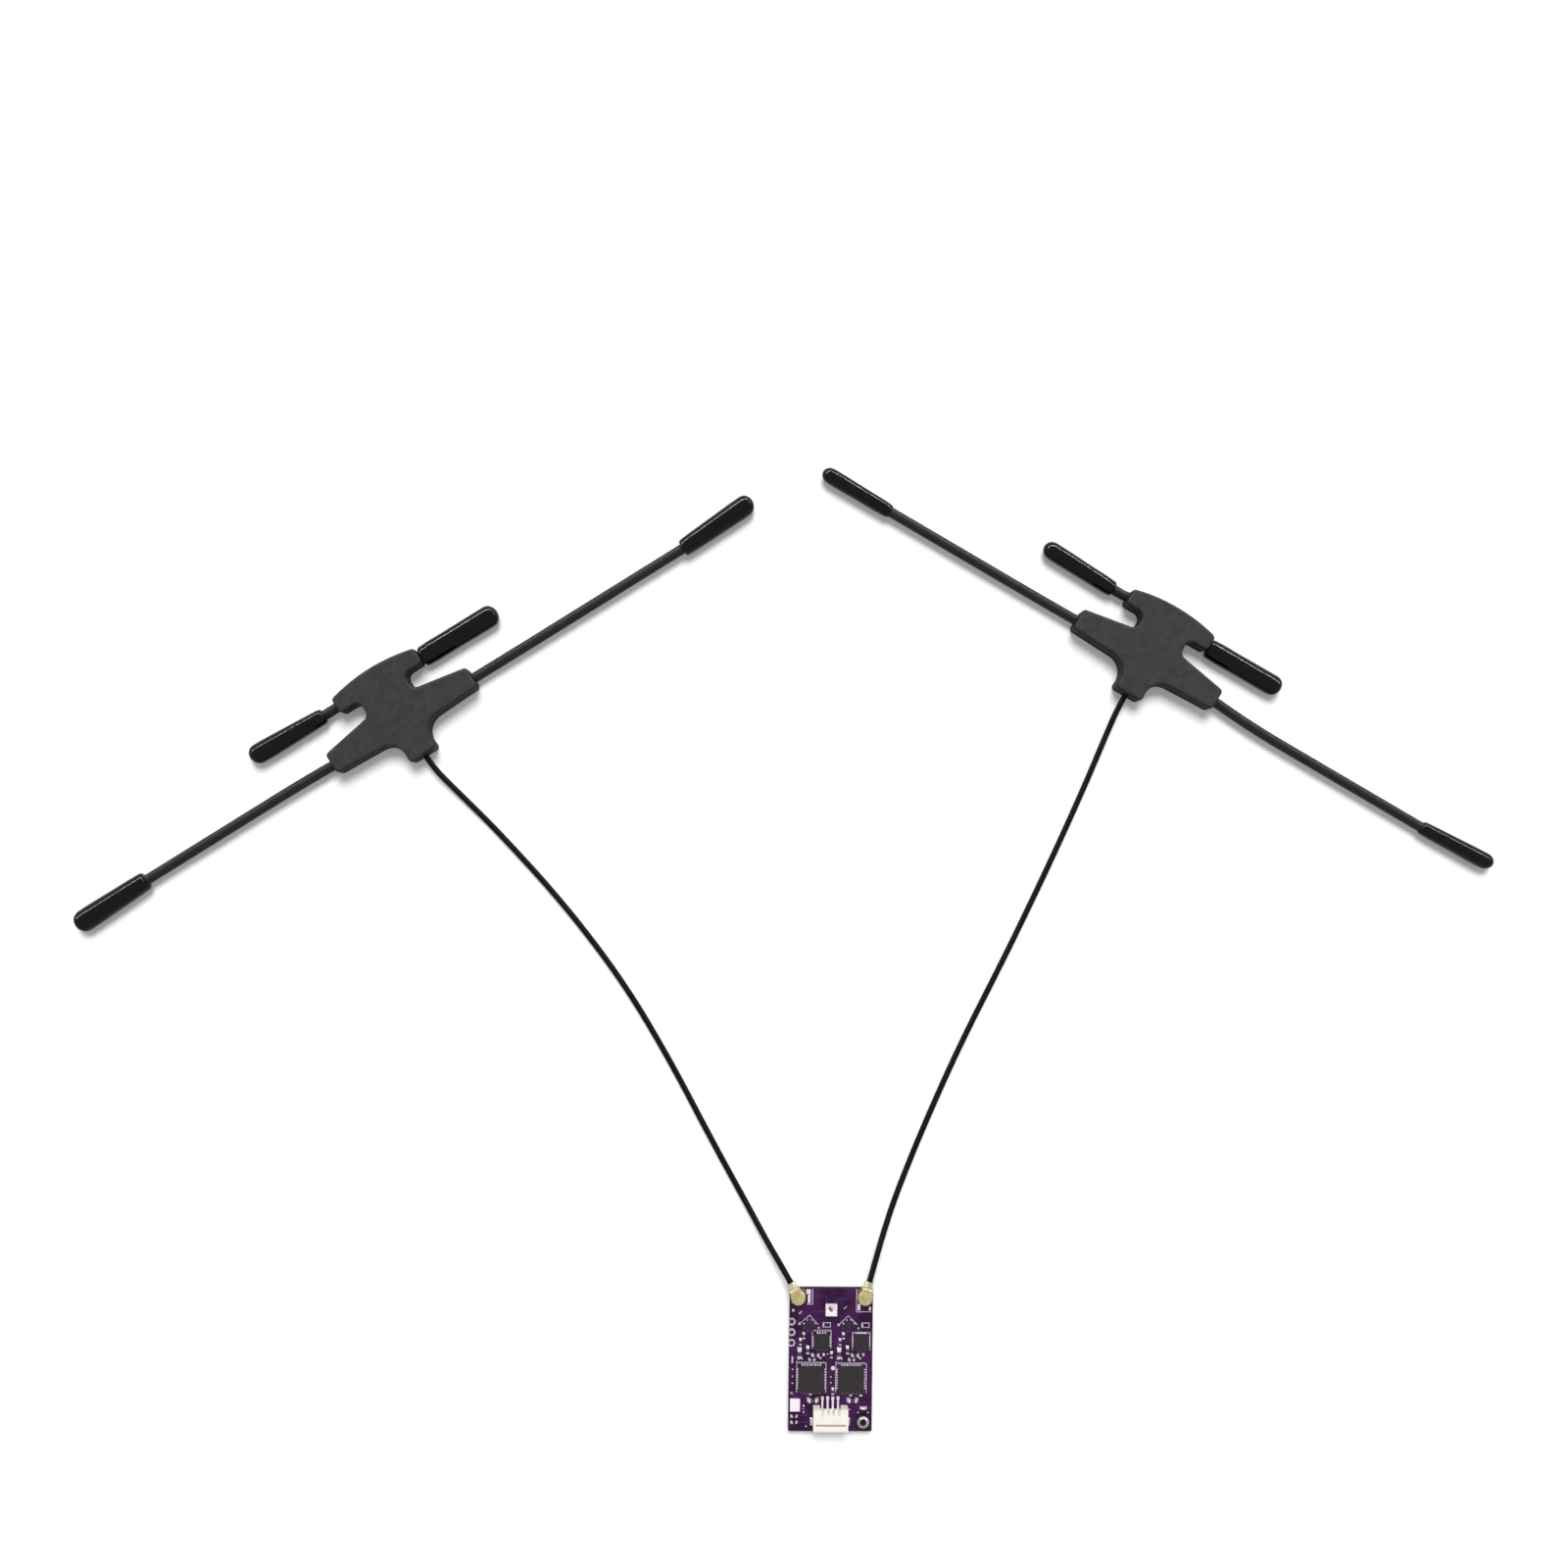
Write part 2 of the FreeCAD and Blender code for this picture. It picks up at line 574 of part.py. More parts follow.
def socket_housing():
    """Side-entry power socket: a mouth in the front, the roof cut back between the
    side walls, a floor that runs on as a tongue, a recess behind for the pins with a
    notch in the roof over each, and a moulded groove in the roof beside each wall.
    Its own Y runs from the rear face to the front."""
    body = new_body("socket_housing")
    inner = "(sizes.socket_width - 2 * sizes.socket_wall)"
    block = sketch_on(body, y="sizes.socket_depth / 2")
    rectangle(block, "sizes.socket_width", "sizes.socket_depth")
    pad(body, block, "sizes.socket_height")
    tongue = sketch_on(body, y="sizes.socket_depth + sizes.socket_tongue / 2")
    rectangle(tongue, inner, "sizes.socket_tongue")
    pad(body, tongue, "sizes.socket_floor")
    mouth = sketch_on(body, "XZ_Plane", y="sizes.socket_height / 2", lift="-sizes.socket_depth")
    rectangle(mouth, inner, "sizes.socket_height - 2 * sizes.socket_floor")
    pocket(body, mouth, "sizes.socket_depth - sizes.socket_rear", backwards=True)
    roof = sketch_on(body, y="sizes.socket_depth - sizes.socket_cutback / 2",
                     lift="sizes.socket_height")
    rectangle(roof, inner, "sizes.socket_cutback")
    pocket(body, roof, "sizes.socket_height / 2")
    recess = sketch_on(body, y="sizes.pin_recess / 2")
    rectangle(recess, "4 * sizes.pin_pitch", "sizes.pin_recess")
    pocket(body, recess, "sizes.pin_rise + sizes.pin_thickness + sizes.socket_floor",
           backwards=True)
    notch = sketch_on(body, x="-1.5 * sizes.pin_pitch", y="sizes.notch_reach / 2",
                      lift="sizes.socket_height")
    rectangle(notch, "sizes.notch_width", "sizes.notch_reach")
    cut = pocket(body, notch, "sizes.socket_height - sizes.pin_rise - sizes.pin_thickness")
    row_of(body, [cut], "X_Axis", "sizes.pin_pitch", 4)
    hole = sketch_on(body, "XZ_Plane", x="-1.5 * sizes.pin_pitch",
                     y="sizes.pin_rise + sizes.pin_thickness / 2")
    rectangle(hole, "sizes.pin_width", "sizes.pin_thickness")
    cut = pocket(body, hole, "sizes.socket_rear + sizes.socket_wall")
    row_of(body, [cut], "X_Axis", "sizes.pin_pitch", 4)
    anchor = sketch_on(body, "YZ_Plane", x="sizes.anchor_back + sizes.anchor_width / 2",
                       y="sizes.anchor_height / 2", lift="sizes.socket_width / 2")
    rectangle(anchor, "sizes.anchor_width", "sizes.anchor_height")
    slot = pocket(body, anchor, "sizes.anchor_thickness")
    groove = sketch_on(body, x="sizes.groove_aside",
                       y="sizes.groove_back + sizes.groove_length / 2",
                       lift="sizes.socket_height")
    rectangle(groove, "sizes.groove_width", "sizes.groove_length")
    furrow = pocket(body, groove, "sizes.groove_depth")
    mirror(body, [slot, furrow], "YZ_Plane")
    return place(body, y=SOCKET_REAR, z=BOARD_TOP, turn="180")


def socket_pin(index):
    """Bent pin: a tail on the board, a riser in the recess and a blade in the mouth."""
    body = new_body("socket_pin_%d" % index)
    sketch = sketch_on(body, "YZ_Plane")
    sheet = "sizes.pin_thickness"
    rise = "sizes.pin_rise"
    riser = "(sizes.pin_tail + sizes.pin_recess)"
    front = "(sizes.pin_tail + sizes.pin_reach)"
    top = "(sizes.pin_rise + sizes.pin_thickness)"
    outline(sketch, [("0", "0"), (riser, "0"), (riser, rise), (front, rise), (front, top),
                     (riser + " - " + sheet, top), (riser + " - " + sheet, sheet), ("0", sheet)])
    pad(body, sketch, "sizes.pin_width", both_ways=True)
    return place(body, "(%.1f) * sizes.pin_pitch" % (index - 1.5),
                 SOCKET_REAR + " + sizes.pin_tail", BOARD_TOP, "180")


def socket_anchor(side, sign):
    body = new_body("socket_anchor_" + side)
    sketch = sketch_on(body, y="sizes.anchor_width / 2")
    rectangle(sketch, "sizes.anchor_thickness", "sizes.anchor_width")
    pad(body, sketch, "sizes.anchor_height")
    return place(body, "%d * (sizes.socket_width - sizes.anchor_thickness) / 2" % sign,
                 SOCKET_REAR + " - sizes.anchor_back", BOARD_TOP, "180")


def power_socket():
    return [socket_housing(),
            group("socket_pins", [socket_pin(index) for index in range(4)]),
            group("socket_anchors", [socket_anchor("left", -1), socket_anchor("right", 1)])]


def boot_button():
    """Tactile button: base with a well, snap dome, nub with its flange, sheet cover."""
    centre = {"x": RIGHT_EDGE + " - sizes.button_inset",
              "y": SOCKET_END + " + sizes.button_ahead"}
    base = new_body("button_base")
    sketch = sketch_on(base)
    rectangle(sketch, "sizes.button_width", "sizes.button_length")
    pad(base, sketch, "sizes.button_base")
    well = sketch_on(base, lift="sizes.button_base")
    circle(well, "sizes.button_well")
    pocket(base, well, "sizes.button_base - sizes.button_floor")
    place(base, z=BOARD_TOP, **centre)

    dome = new_body("button_dome")
    profile = sketch_on(dome, "XZ_Plane")
    edge = "(sizes.button_well - sizes.plunger_gap)"
    step = "(sizes.plunger_radius)"
    outline(profile, [("0", "sizes.dome_rise"), (step, "sizes.dome_rise"), (edge, "0"),
                      (edge, "sizes.dome_sheet"),
                      (step, "sizes.dome_rise + sizes.dome_sheet"),
                      ("0", "sizes.dome_rise + sizes.dome_sheet")])
    revolve(dome, profile)
    place(dome, z=BOARD_TOP + " + sizes.button_floor", **centre)

    nub = new_body("boot_button")
    profile = sketch_on(nub, "XZ_Plane")
    top = ("(sizes.plunger_flange_height + sizes.plunger_play + sizes.button_cover"
           " + sizes.button_collar_rise + sizes.plunger_proud)")
    outline(profile, [("0", "0"), ("sizes.plunger_flange", "0"),
                      ("sizes.plunger_flange", "sizes.plunger_flange_height"),
                      ("sizes.plunger_radius", "sizes.plunger_flange_height"),
                      ("sizes.plunger_radius", top), ("0", top)])
    revolve(nub, profile)
    place(nub, z=BOARD_TOP + " + sizes.button_base - sizes.plunger_flange_height"
          " - sizes.plunger_play", **centre)

    cover = new_body("button_cover")
    plate = sketch_on(cover)
    rectangle(plate, "sizes.button_width", "sizes.button_length")
    pad(cover, plate, "sizes.button_cover")
    collar = sketch_on(cover, "XZ_Plane")
    bore = "(sizes.plunger_radius + sizes.plunger_gap)"
    crest = "(sizes.button_cover + sizes.button_collar_rise)"
    outline(collar, [("0", "0"), ("sizes.button_collar", "0"),
                     ("sizes.button_collar", "sizes.button_cover"),
                     (bore + " + sizes.button_cover", crest), ("0", crest)])
    revolve(cover, collar)
    opening = sketch_on(cover)
    circle(opening, bore)
    pocket(cover, opening, both_ways=True)
    place(cover, z=BOARD_TOP + " + sizes.button_base", **centre)
    return [base, dome, nub, cover]


def joint_place(sign):
    """Where the left (-1) or right (1) coax joint sits on the board."""
    return ("%d * (%s - sizes.receptacle_inset)" % (sign, RIGHT_EDGE),
            SOCKET_END + " + sizes.receptacle_row")


def receptacle(side, sign):
    """Coax receptacle on the board: base, ring with two feet, and centre contact."""
    x, y = joint_place(sign)
    inner = "(sizes.ring_radius - sizes.ring_wall)"
    sheet = "sizes.foot_sheet"

    base = new_body("receptacle_base_" + side)
    square = sketch_on(base)
    rectangle(square, "sizes.receptacle_side", "sizes.receptacle_side")
    pad(base, square, "sizes.receptacle_base")
    bore = sketch_on(base)
    circle(bore, "sizes.contact_radius")
    pocket(base, bore, both_ways=True)
    place(base, x, y, BOARD_TOP)

    ring = new_body("receptacle_ring_" + side)
    saddle = sketch_on(ring)
    rectangle(saddle, "sizes.receptacle_side + 2 * " + sheet, "sizes.foot_width")
    pad(ring, saddle, "sizes.receptacle_base + " + sheet)
    tube = sketch_on(ring, lift="sizes.receptacle_base")
    circle(tube, "sizes.ring_radius")
    pad(ring, tube, "sizes.ring_height - sizes.receptacle_base")
    under = sketch_on(ring)
    rectangle(under, "sizes.receptacle_side", "sizes.receptacle_side")
    pocket(ring, under, "sizes.receptacle_base", backwards=True)
    hollow = sketch_on(ring)
    circle(hollow, inner)
    pocket(ring, hollow, both_ways=True)
    place(ring, x, y, BOARD_TOP)

    contact = new_body("receptacle_contact_" + side)
    stem = sketch_on(contact)
    circle(stem, "sizes.contact_radius")
    pad(contact, stem, "sizes.ring_height - sizes.ring_wall")
    place(contact, x, y, BOARD_TOP)
    return base, ring, contact


def coax_plug(side, sign, turn):
    """Right-angle coax plug: a cap over the ring, shoulders and a crimp barrel.
    Its own Y runs along the lead."""
    x, y = joint_place(sign)
    shell = new_body("plug_shell_" + side)
    cap = sketch_on(shell)
    circle(cap, "sizes.plug_radius")
    pad(shell, cap, "sizes.plug_height")
    shoulders = sketch_on(shell, y="sizes.plug_shoulder_reach / 2")
    rectangle(shoulders, "sizes.plug_shoulder", "sizes.plug_shoulder_reach")
    pad(shell, shoulders, "sizes.plug_height")
    round_edges(shell, level("sizes.plug_height"), "sizes.plug_round")
    inside = sketch_on(shell)
    circle(inside, "sizes.ring_radius + sizes.plug_clearance")
    pocket(shell, inside, "sizes.plug_height - sizes.plug_top", backwards=True)
    barrel = sketch_on(shell, "XZ_Plane", y="sizes.lead_axis - sizes.plug_low",
                       lift="-sizes.plug_reach")
    circle(barrel, "sizes.plug_crimp")
    pad(shell, barrel, "sizes.plug_reach - sizes.plug_shoulder_reach + sizes.plug_round")
    place(shell, x, y, BOARD_TOP + " + sizes.plug_low", turn)

    core = new_body("plug_core_" + side)
    disc = sketch_on(core)
    circle(disc, "sizes.ring_radius - sizes.ring_wall - sizes.plug_clearance")
    pad(core, disc, "sizes.plug_low + sizes.plug_height - sizes.plug_top - sizes.receptacle_base")
    bore = sketch_on(core)
    circle(bore, "sizes.contact_radius + sizes.plug_clearance")
    pocket(core, bore, both_ways=True)
    place(core, x, y, BOARD_TOP + " + sizes.receptacle_base")
    return shell, core


def coax_joints():
    left = receptacle("left", -1)
    right = receptacle("right", 1)
    left_plug, left_core = coax_plug("left", -1, "sizes.plug_left_angle")
    right_plug, right_core = coax_plug("right", 1, "-sizes.plug_right_angle")
    return [group("receptacle_bases", [left[0], right[0]]),
            group("receptacle_rings", [left[1], right[1]]),
            group("receptacle_contacts", [left[2], right[2]]),
            left_plug, right_plug,
            group("plug_cores", [left_core, right_core])]


def ceramic_aerial():
    """White ceramic block at the board's left edge, with bevelled edges."""
    body = new_body("ceramic_aerial")
    sketch = sketch_on(body)
    rectangle(sketch, "sizes.patch_width", "sizes.patch_length")
    pad(body, sketch, "sizes.patch_height")
    round_edges(body, level("sizes.patch_height"), "sizes.small_bevel", "Chamfer")
    return place(body, LEFT_EDGE + " + sizes.patch_inset",
                 SOCKET_END + " + sizes.patch_ahead", BOARD_TOP)


# Chip parts: column and row that each is placed from, place, turn, and length. A chip
# is half as wide and high as it is long, and its end caps stand a little proud.
CAP_PROUD = 0.03
COLUMNS = {"channel": (LEFT_CHANNEL, RIGHT_CHANNEL), "middle": ("0",),
           "left edge": (LEFT_EDGE,), "right edge": (RIGHT_EDGE,)}
ROWS = {"socket end": "0",
        "radio foot": "(sizes.radio_row - sizes.radio_side / 2)",
        "radio head": "(sizes.radio_row + sizes.radio_side / 2)",
        "amplifier": "sizes.amplifier_row"}
CAPACITORS = [("channel", "amplifier", -1.5, 1.05, 90, 1.0),
              ("channel", "radio head", -2.3, 2.3, 90, 1.6),
              ("channel", "radio head", -0.75, 2.8, 90, 1.6),
              ("channel", "radio head", 0.1, 1.15, 0, 1.0),
              ("channel", "radio foot", 0.35, -1.45, 0, 1.6),
              ("middle", "radio head", 0.1, 2.0, 90, 1.0),
              ("middle", "radio foot", 0.45, 0.15, 90, 1.0),
              ("right edge", "socket end", -1.65, 4.4, 0, 1.0)]
RESISTORS = [("channel", "amplifier", -2.15, -0.1, 90, 1.0),
             ("channel", "radio head", 2.0, 1.8, 45, 1.0),
             ("channel", "radio head", -2.05, 1.2, 0, 0.6),
             ("left edge", "socket end", 1.1, 2.85, 0, 1.0),
             ("left edge", "socket end", 1.1, 1.7, 0, 1.0),
             ("left edge", "socket end", 2.9, 4.45, 90, 0.6)]
COILS = [("channel", "radio head", 0.75, 2.0, 0, 1.2)]


def chip_part(label, x, y, turn, length):
    """Small chip with a cap at each end, the caps a little proud of the body."""
    width = length / 2
    cap = length / 4
    middle = (0.0, length, width - 2 * CAP_PROUD, width - CAP_PROUD)
    left_cap = (-(length - cap) / 2, cap, width, width)
    right_cap = ((length - cap) / 2, cap, width, width)
    body = new_body(label)
    for spot, along, across, height in (middle, left_cap, right_cap):
        sketch = sketch_on(body, x="%.3f" % spot)
        rectangle(sketch, "%.3f" % along, "%.3f" % across)
        pad(body, sketch, "%.3f" % height)
    return place(body, x, y, BOARD_TOP, str(turn))


def chip_parts():
    """The small chips round the radios, the same for both channels, and a few more."""
    nodes = []
    for label, spots in (("chip_capacitors", CAPACITORS), ("chip_resistors", RESISTORS),
                         ("chip_coils", COILS)):
        members = []
        for column, row, x, y, turn, length in spots:
            along = "%s + %s + (%s)" % (SOCKET_END, ROWS[row], y)
            for across in COLUMNS[column]:
                members.append(chip_part(label + "_part", "%s + (%s)" % (across, x), along,
                                         turn, length))
        nodes.append(group(label, members))
    return nodes


def underside_parts():
    """What the board carries underneath: it rests on the microcontroller."""
    beside = "sizes.controller_side / 2 + sizes.under_clear + "
    supply_row = "-(%s sizes.coil_side / 2)" % beside
    clock_row = beside + "sizes.clock_length / 2"
    controller = new_body("microcontroller")
    sketch = sketch_on(controller)
    rectangle(sketch, "sizes.controller_side", "sizes.controller_side")
    pad(controller, sketch, "sizes.controller_height")
    place(controller)

    regulator = block_under("voltage_regulator", "sizes.regulator_side", "sizes.regulator_side",
                            "sizes.regulator_height", "-sizes.regulator_aside",
                            supply_row)
    coil = block_under("power_coil", "sizes.coil_side", "sizes.coil_side",
                       "sizes.coil_height", "-sizes.coil_aside", supply_row)
    cans = [block_under("clock_can_" + side, "sizes.clock_width", "sizes.clock_length",
                        "sizes.clock_height", channel, clock_row)
            for side, channel in (("left", LEFT_CHANNEL), ("right", RIGHT_CHANNEL))]
    return [controller, regulator, coil, group("clock_cans", cans)]


def block_under(label, width, length, height, x, y):
    """Block soldered to the underside of the board, with bevelled lower edges."""
    body = new_body(label)
    sketch = sketch_on(body)
    rectangle(sketch, width, length)
    pad(body, sketch, height)
    round_edges(body, level("0"), "sizes.small_bevel", "Chamfer")
    return place(body, x, y, "sizes.controller_height - " + height)


NECK = "sizes.neck_length"
SHORT_AXIS = "(sizes.neck_length + sizes.short_offset)"
LONG_ROOT = ("sizes.notch_end", NECK + " + sizes.long_root_high")
SHORT_ROOT = ("sizes.notch_end", SHORT_AXIS + " - sizes.short_boss_low")
NECK_ROOT = ("sizes.neck_root_half", NECK + " - sizes.long_root_low")
BOSS_CORNERS = [("sizes.long_reach", NECK + " - sizes.long_boss_low"),
                ("sizes.long_reach", NECK + " + sizes.long_boss_high"),
                ("sizes.short_reach", SHORT_AXIS + " - sizes.short_boss_low"),
                ("sizes.short_reach", SHORT_AXIS + " + sizes.short_boss_high")]
NECK_CORNER = ("sizes.neck_end_half", "0")


def both_sides(spots):
    return spots + [("-" + x, y) for x, y in spots]


def housing_form(body, height, upwards):
    """Outer form of one shell, from the seam: half an outline, mirrored, its corners
    rounded. The origin is the middle of the neck's end; the arms run along X."""
    crown_top = NECK + " + sizes.crown"
    corners = [("0", "0"), NECK_CORNER, NECK_ROOT, BOSS_CORNERS[0], BOSS_CORNERS[1],
               LONG_ROOT, SHORT_ROOT, BOSS_CORNERS[2], BOSS_CORNERS[3], ("0", crown_top)]
    end = FreeCAD.Vector(number(corners[8][0]), number(corners[8][1]), 0)
    top = number(crown_top)
    drop = top - end.y
    radius = (end.x ** 2 + drop ** 2) / (2 * drop)
    half_angle = math.asin(end.x / radius) / 2
    middle = FreeCAD.Vector(radius * math.sin(half_angle),
                            top - radius * (1 - math.cos(half_angle)), 0)
    sketch = sketch_on(body, lift="sizes.base_height")
    outline(sketch, corners, arc_side=8, arc_middle=middle)
    half = pad(body, sketch, height, backwards=not upwards)
    mirror(body, [half], "YZ_Plane")
    round_edges(body, upright_at(both_sides([LONG_ROOT, SHORT_ROOT])), "sizes.notch_round")
    round_edges(body, upright_at(both_sides([NECK_ROOT])), "sizes.waist_round")
    round_edges(body, upright_at(both_sides(BOSS_CORNERS + [NECK_CORNER])), "sizes.boss_round")


def hollow_out(body, upwards):
    """Room for the feed board, and half-round seats for the wires and the lead."""
    room = "sizes.feed_room"
    low = "(%s - sizes.feed_low - %s)" % (NECK, room)
    high = "(%s + sizes.feed_high + %s)" % (NECK, room)
    cavity = sketch_on(body, y="(%s + %s) / 2" % (low, high), lift="sizes.base_height")
    rectangle(cavity, "2 * (sizes.feed_half_width + %s)" % room, "%s - %s" % (high, low))
    pocket(body, cavity, "sizes.cavity_height", backwards=upwards)
    bores = sketch_on(body, "YZ_Plane")
    circle(bores, "sizes.wire_radius", NECK, "sizes.base_height")
    circle(bores, "sizes.wire_radius", SHORT_AXIS, "sizes.base_height")
    pocket(body, bores, both_ways=True)
    throat = sketch_on(body, "XZ_Plane")
    circle(throat, "sizes.lead_radius", "0", "sizes.base_height")
    pocket(body, throat, low)


def aerial_cover(side):
    """Upper shell of an aerial's housing, with a rounded top edge."""
    body = new_body("aerial_%s_cover" % side)
    housing_form(body, "sizes.cover_height", True)
    round_edges(body, level("sizes.base_height + sizes.cover_height"), "sizes.cover_round")
    round_edges(body, level("sizes.base_height"), "sizes.seam_chamfer", "Chamfer")
    hollow_out(body, True)
    return body


def aerial_base(side):
    """Lower shell of an aerial's housing, flat underneath."""
    body = new_body("aerial_%s_base" % side)
    housing_form(body, "sizes.base_height", False)
    round_edges(body, level("0"), "sizes.base_bevel", "Chamfer")
    round_edges(body, level("sizes.base_height"), "sizes.seam_chamfer", "Chamfer")
    hollow_out(body, False)
    return body


def feed_board(side):
    """Small board in the housing that joins the wires to the lead."""
    body = new_body("aerial_%s_feed_board" % side)
    sketch = sketch_on(body, y="%s + (sizes.feed_high - sizes.feed_low) / 2" % NECK,
                       lift="sizes.base_height")
    rectangle(sketch, "2 * sizes.feed_half_width", "sizes.feed_high + sizes.feed_low")
    pad(body, sketch, "sizes.feed_thickness", both_ways=True)
    return body


def lead_end(side):
    """Bared end of the lead in the housing's neck: jacket, braid and core."""
    body = new_body("aerial_%s_lead_end" % side)
    full = "(%s - sizes.feed_low)" % NECK
    steps = [("sizes.lead_radius", full + " - sizes.lead_core_length - sizes.lead_braid_length"),
             ("sizes.lead_braid", full + " - sizes.lead_core_length"),
             ("sizes.lead_core", full)]
    for radius, length in steps:
        sketch = sketch_on(body, "XZ_Plane")
        circle(sketch, radius, "0", "sizes.base_height")
        pad(body, sketch, length, backwards=True)
    return body


def aerial_wire(side, name, axis, tip, towards):
    """Straight insulated wire from the feed board into its end cap."""
    body = new_body("aerial_%s_%s" % (side, name))
    start = "sizes.feed_half_width"
    sketch = sketch_on(body, "YZ_Plane", lift=start if towards > 0 else "-" + start)
    circle(sketch, "sizes.wire_radius", axis, "sizes.base_height")
    pad(body, sketch, "%s - sizes.cap_length + sizes.cap_bore - %s" % (tip, start),
        backwards=towards < 0)
    return body


def end_cap(side, name, axis, tip, towards):
    """Soft cap with a bore for the wire and a rounded closed end."""
    body = new_body("aerial_%s_%s" % (side, name))
    start = "%s - sizes.cap_length" % tip
    sketch = sketch_on(body, x=start if towards > 0 else "-(%s)" % start, y=axis,
                       lift="sizes.base_height", turn=0 if towards > 0 else 180)
    outline(sketch, [("0", "sizes.wire_radius"), ("sizes.cap_bore", "sizes.wire_radius"),
                     ("sizes.cap_bore", "0"), ("sizes.cap_length", "0"),
                     ("sizes.cap_length", "sizes.cap_radius"), ("0", "sizes.cap_mouth")])
    revolve(body, sketch, "H_Axis")
    round_edges(body, ring_at(number(tip) * towards, "sizes.cap_radius"), "sizes.cap_round")
    mouth = ring_at(number(start) * towards, "sizes.cap_mouth")
    round_edges(body, mouth, "sizes.cap_lip", "Chamfer")
    return body


def aerial(side):
    """One T-shaped aerial. All its pieces share the aerial's own frame: the middle of
    the neck's end on the floor, the arms along X, the crown towards Y."""
    arms = [("long_wire_a", NECK, "sizes.long_tip_a", -1),
            ("long_wire_b", NECK, "sizes.long_tip_b", 1),
            ("short_wire_a", SHORT_AXIS, "sizes.short_tip_a", -1),
            ("short_wire_b", SHORT_AXIS, "sizes.short_tip_b", 1)]
    pieces = [aerial_cover(side), aerial_base(side), feed_board(side), lead_end(side)]
    pieces += [aerial_wire(side, *arm) for arm in arms]
    caps = [end_cap(side, name.replace("wire", "cap"), axis, tip, towards)
            for name, axis, tip, towards in arms]
    turn = "sizes.%s_aerial_angle" % side
    x = "sizes.%s_aerial_x + sin(%s) * sizes.neck_length" % (side, turn)
    y = "sizes.%s_aerial_y - cos(%s) * sizes.neck_length" % (side, turn)
    for piece in pieces + caps:
        place(piece, x, y, "0", turn)
    return pieces + [group("aerial_%s_end_caps" % side, caps)]


def lead_path(points):
    """Straight runs joined by tangent arcs, each arc as large as its runs allow."""
    edges = []
    start = points[0]
    radii = []
    for index in range(1, len(points) - 1):
        corner = points[index]
        back = points[index - 1] - corner
        ahead = points[index + 1] - corner
        run = min(back.Length, ahead.Length)
        back = FreeCAD.Vector(back).normalize()
        ahead = FreeCAD.Vector(ahead).normalize()
        half_turn = (math.pi - back.getAngle(ahead)) / 2
        reach = 0.45 * run
        radius = reach / math.tan(half_turn)
        radii.append(radius)
        enter = corner + back * reach
        leave = corner + ahead * reach
        inward = (back + ahead).normalize()
        centre = corner + inward * (radius / math.cos(half_turn))
        middle = centre - inward * radius
        edges.append(Part.LineSegment(start, enter).toShape())
        edges.append(Part.Arc(enter, middle, leave).toShape())
        start = leave
    edges.append(Part.LineSegment(start, points[-1]).toShape())
    return Part.Wire(edges), radii


def lead(side, route, turn, sign):
    """Coax lead from the aerial's neck to the plug's crimp, along its chosen points."""
    angle = math.radians(number("sizes.%s_aerial_angle" % side))
    neck = number("sizes.neck_length")
    exit_point = FreeCAD.Vector(
        number("sizes.%s_aerial_x" % side) + math.sin(angle) * neck,
        number("sizes.%s_aerial_y" % side) - math.cos(angle) * neck,
        number("sizes.base_height"))
    swing = math.radians(number(turn))
    reach = number("sizes.plug_reach")
    x, y = joint_place(sign)
    plug = FreeCAD.Vector(number(x) - math.sin(swing) * reach,
                          number(y) + math.cos(swing) * reach,
                          number(BOARD_TOP + " + sizes.lead_axis"))
    points = [exit_point] + [FreeCAD.Vector(*spot) for spot in route] + [plug]
    path, radii = lead_path(points)
    radius = number("sizes.lead_radius")
    ring = Part.Wire(Part.makeCircle(radius, points[0], points[1] - points[0]))
    tube = path.makePipeShell([ring], True, True)
    item = DOC.addObject("Part::Feature", "lead_" + side)
    item.Label = "lead_" + side
    item.Shape = tube
    item.Placement = FreeCAD.Placement()
    expected = math.pi * radius ** 2 * path.Length
    print("lead_%s length %.1f, radii %s, volume %.2f of %.2f" % (
        side, path.Length, " ".join("%.0f" % value for value in radii),
        tube.Volume, expected))
    return item


def check(nodes):
    """Every object computed, and every sub-part a valid shape, before anything is written."""
    for item in DOC.Objects:
        if "Invalid" in item.State or "Error" in item.State:
            raise RuntimeError(item.Label + " did not compute")
    for node in nodes:
        if node.Shape.isNull() or not node.Shape.isValid():
            raise RuntimeError(node.Label + " has no valid shape")


def build():
    fill_sheet()
    nodes = [circuit_board(), edge_contacts()]
    nodes += channel_chips("left", LEFT_CHANNEL)
    nodes += channel_chips("right", RIGHT_CHANNEL)
    nodes += status_light() + power_socket() + boot_button() + coax_joints()
    nodes += [ceramic_aerial()] + chip_parts() + underside_parts()
    nodes += aerial("left") + aerial("right")
    nodes += [lead("left", LEFT_LEAD, "sizes.plug_left_angle", -1),
              lead("right", RIGHT_LEAD, "-sizes.plug_right_angle", 1)]
    DOC.recompute()
    check(nodes)
    os.makedirs("parts", exist_ok=True)
    for node in nodes:
        node.Shape.exportStep("parts/%s.step" % node.Label)
        print(node.Label, len(node.Shape.Solids), round(node.Shape.Volume, 2))


build()
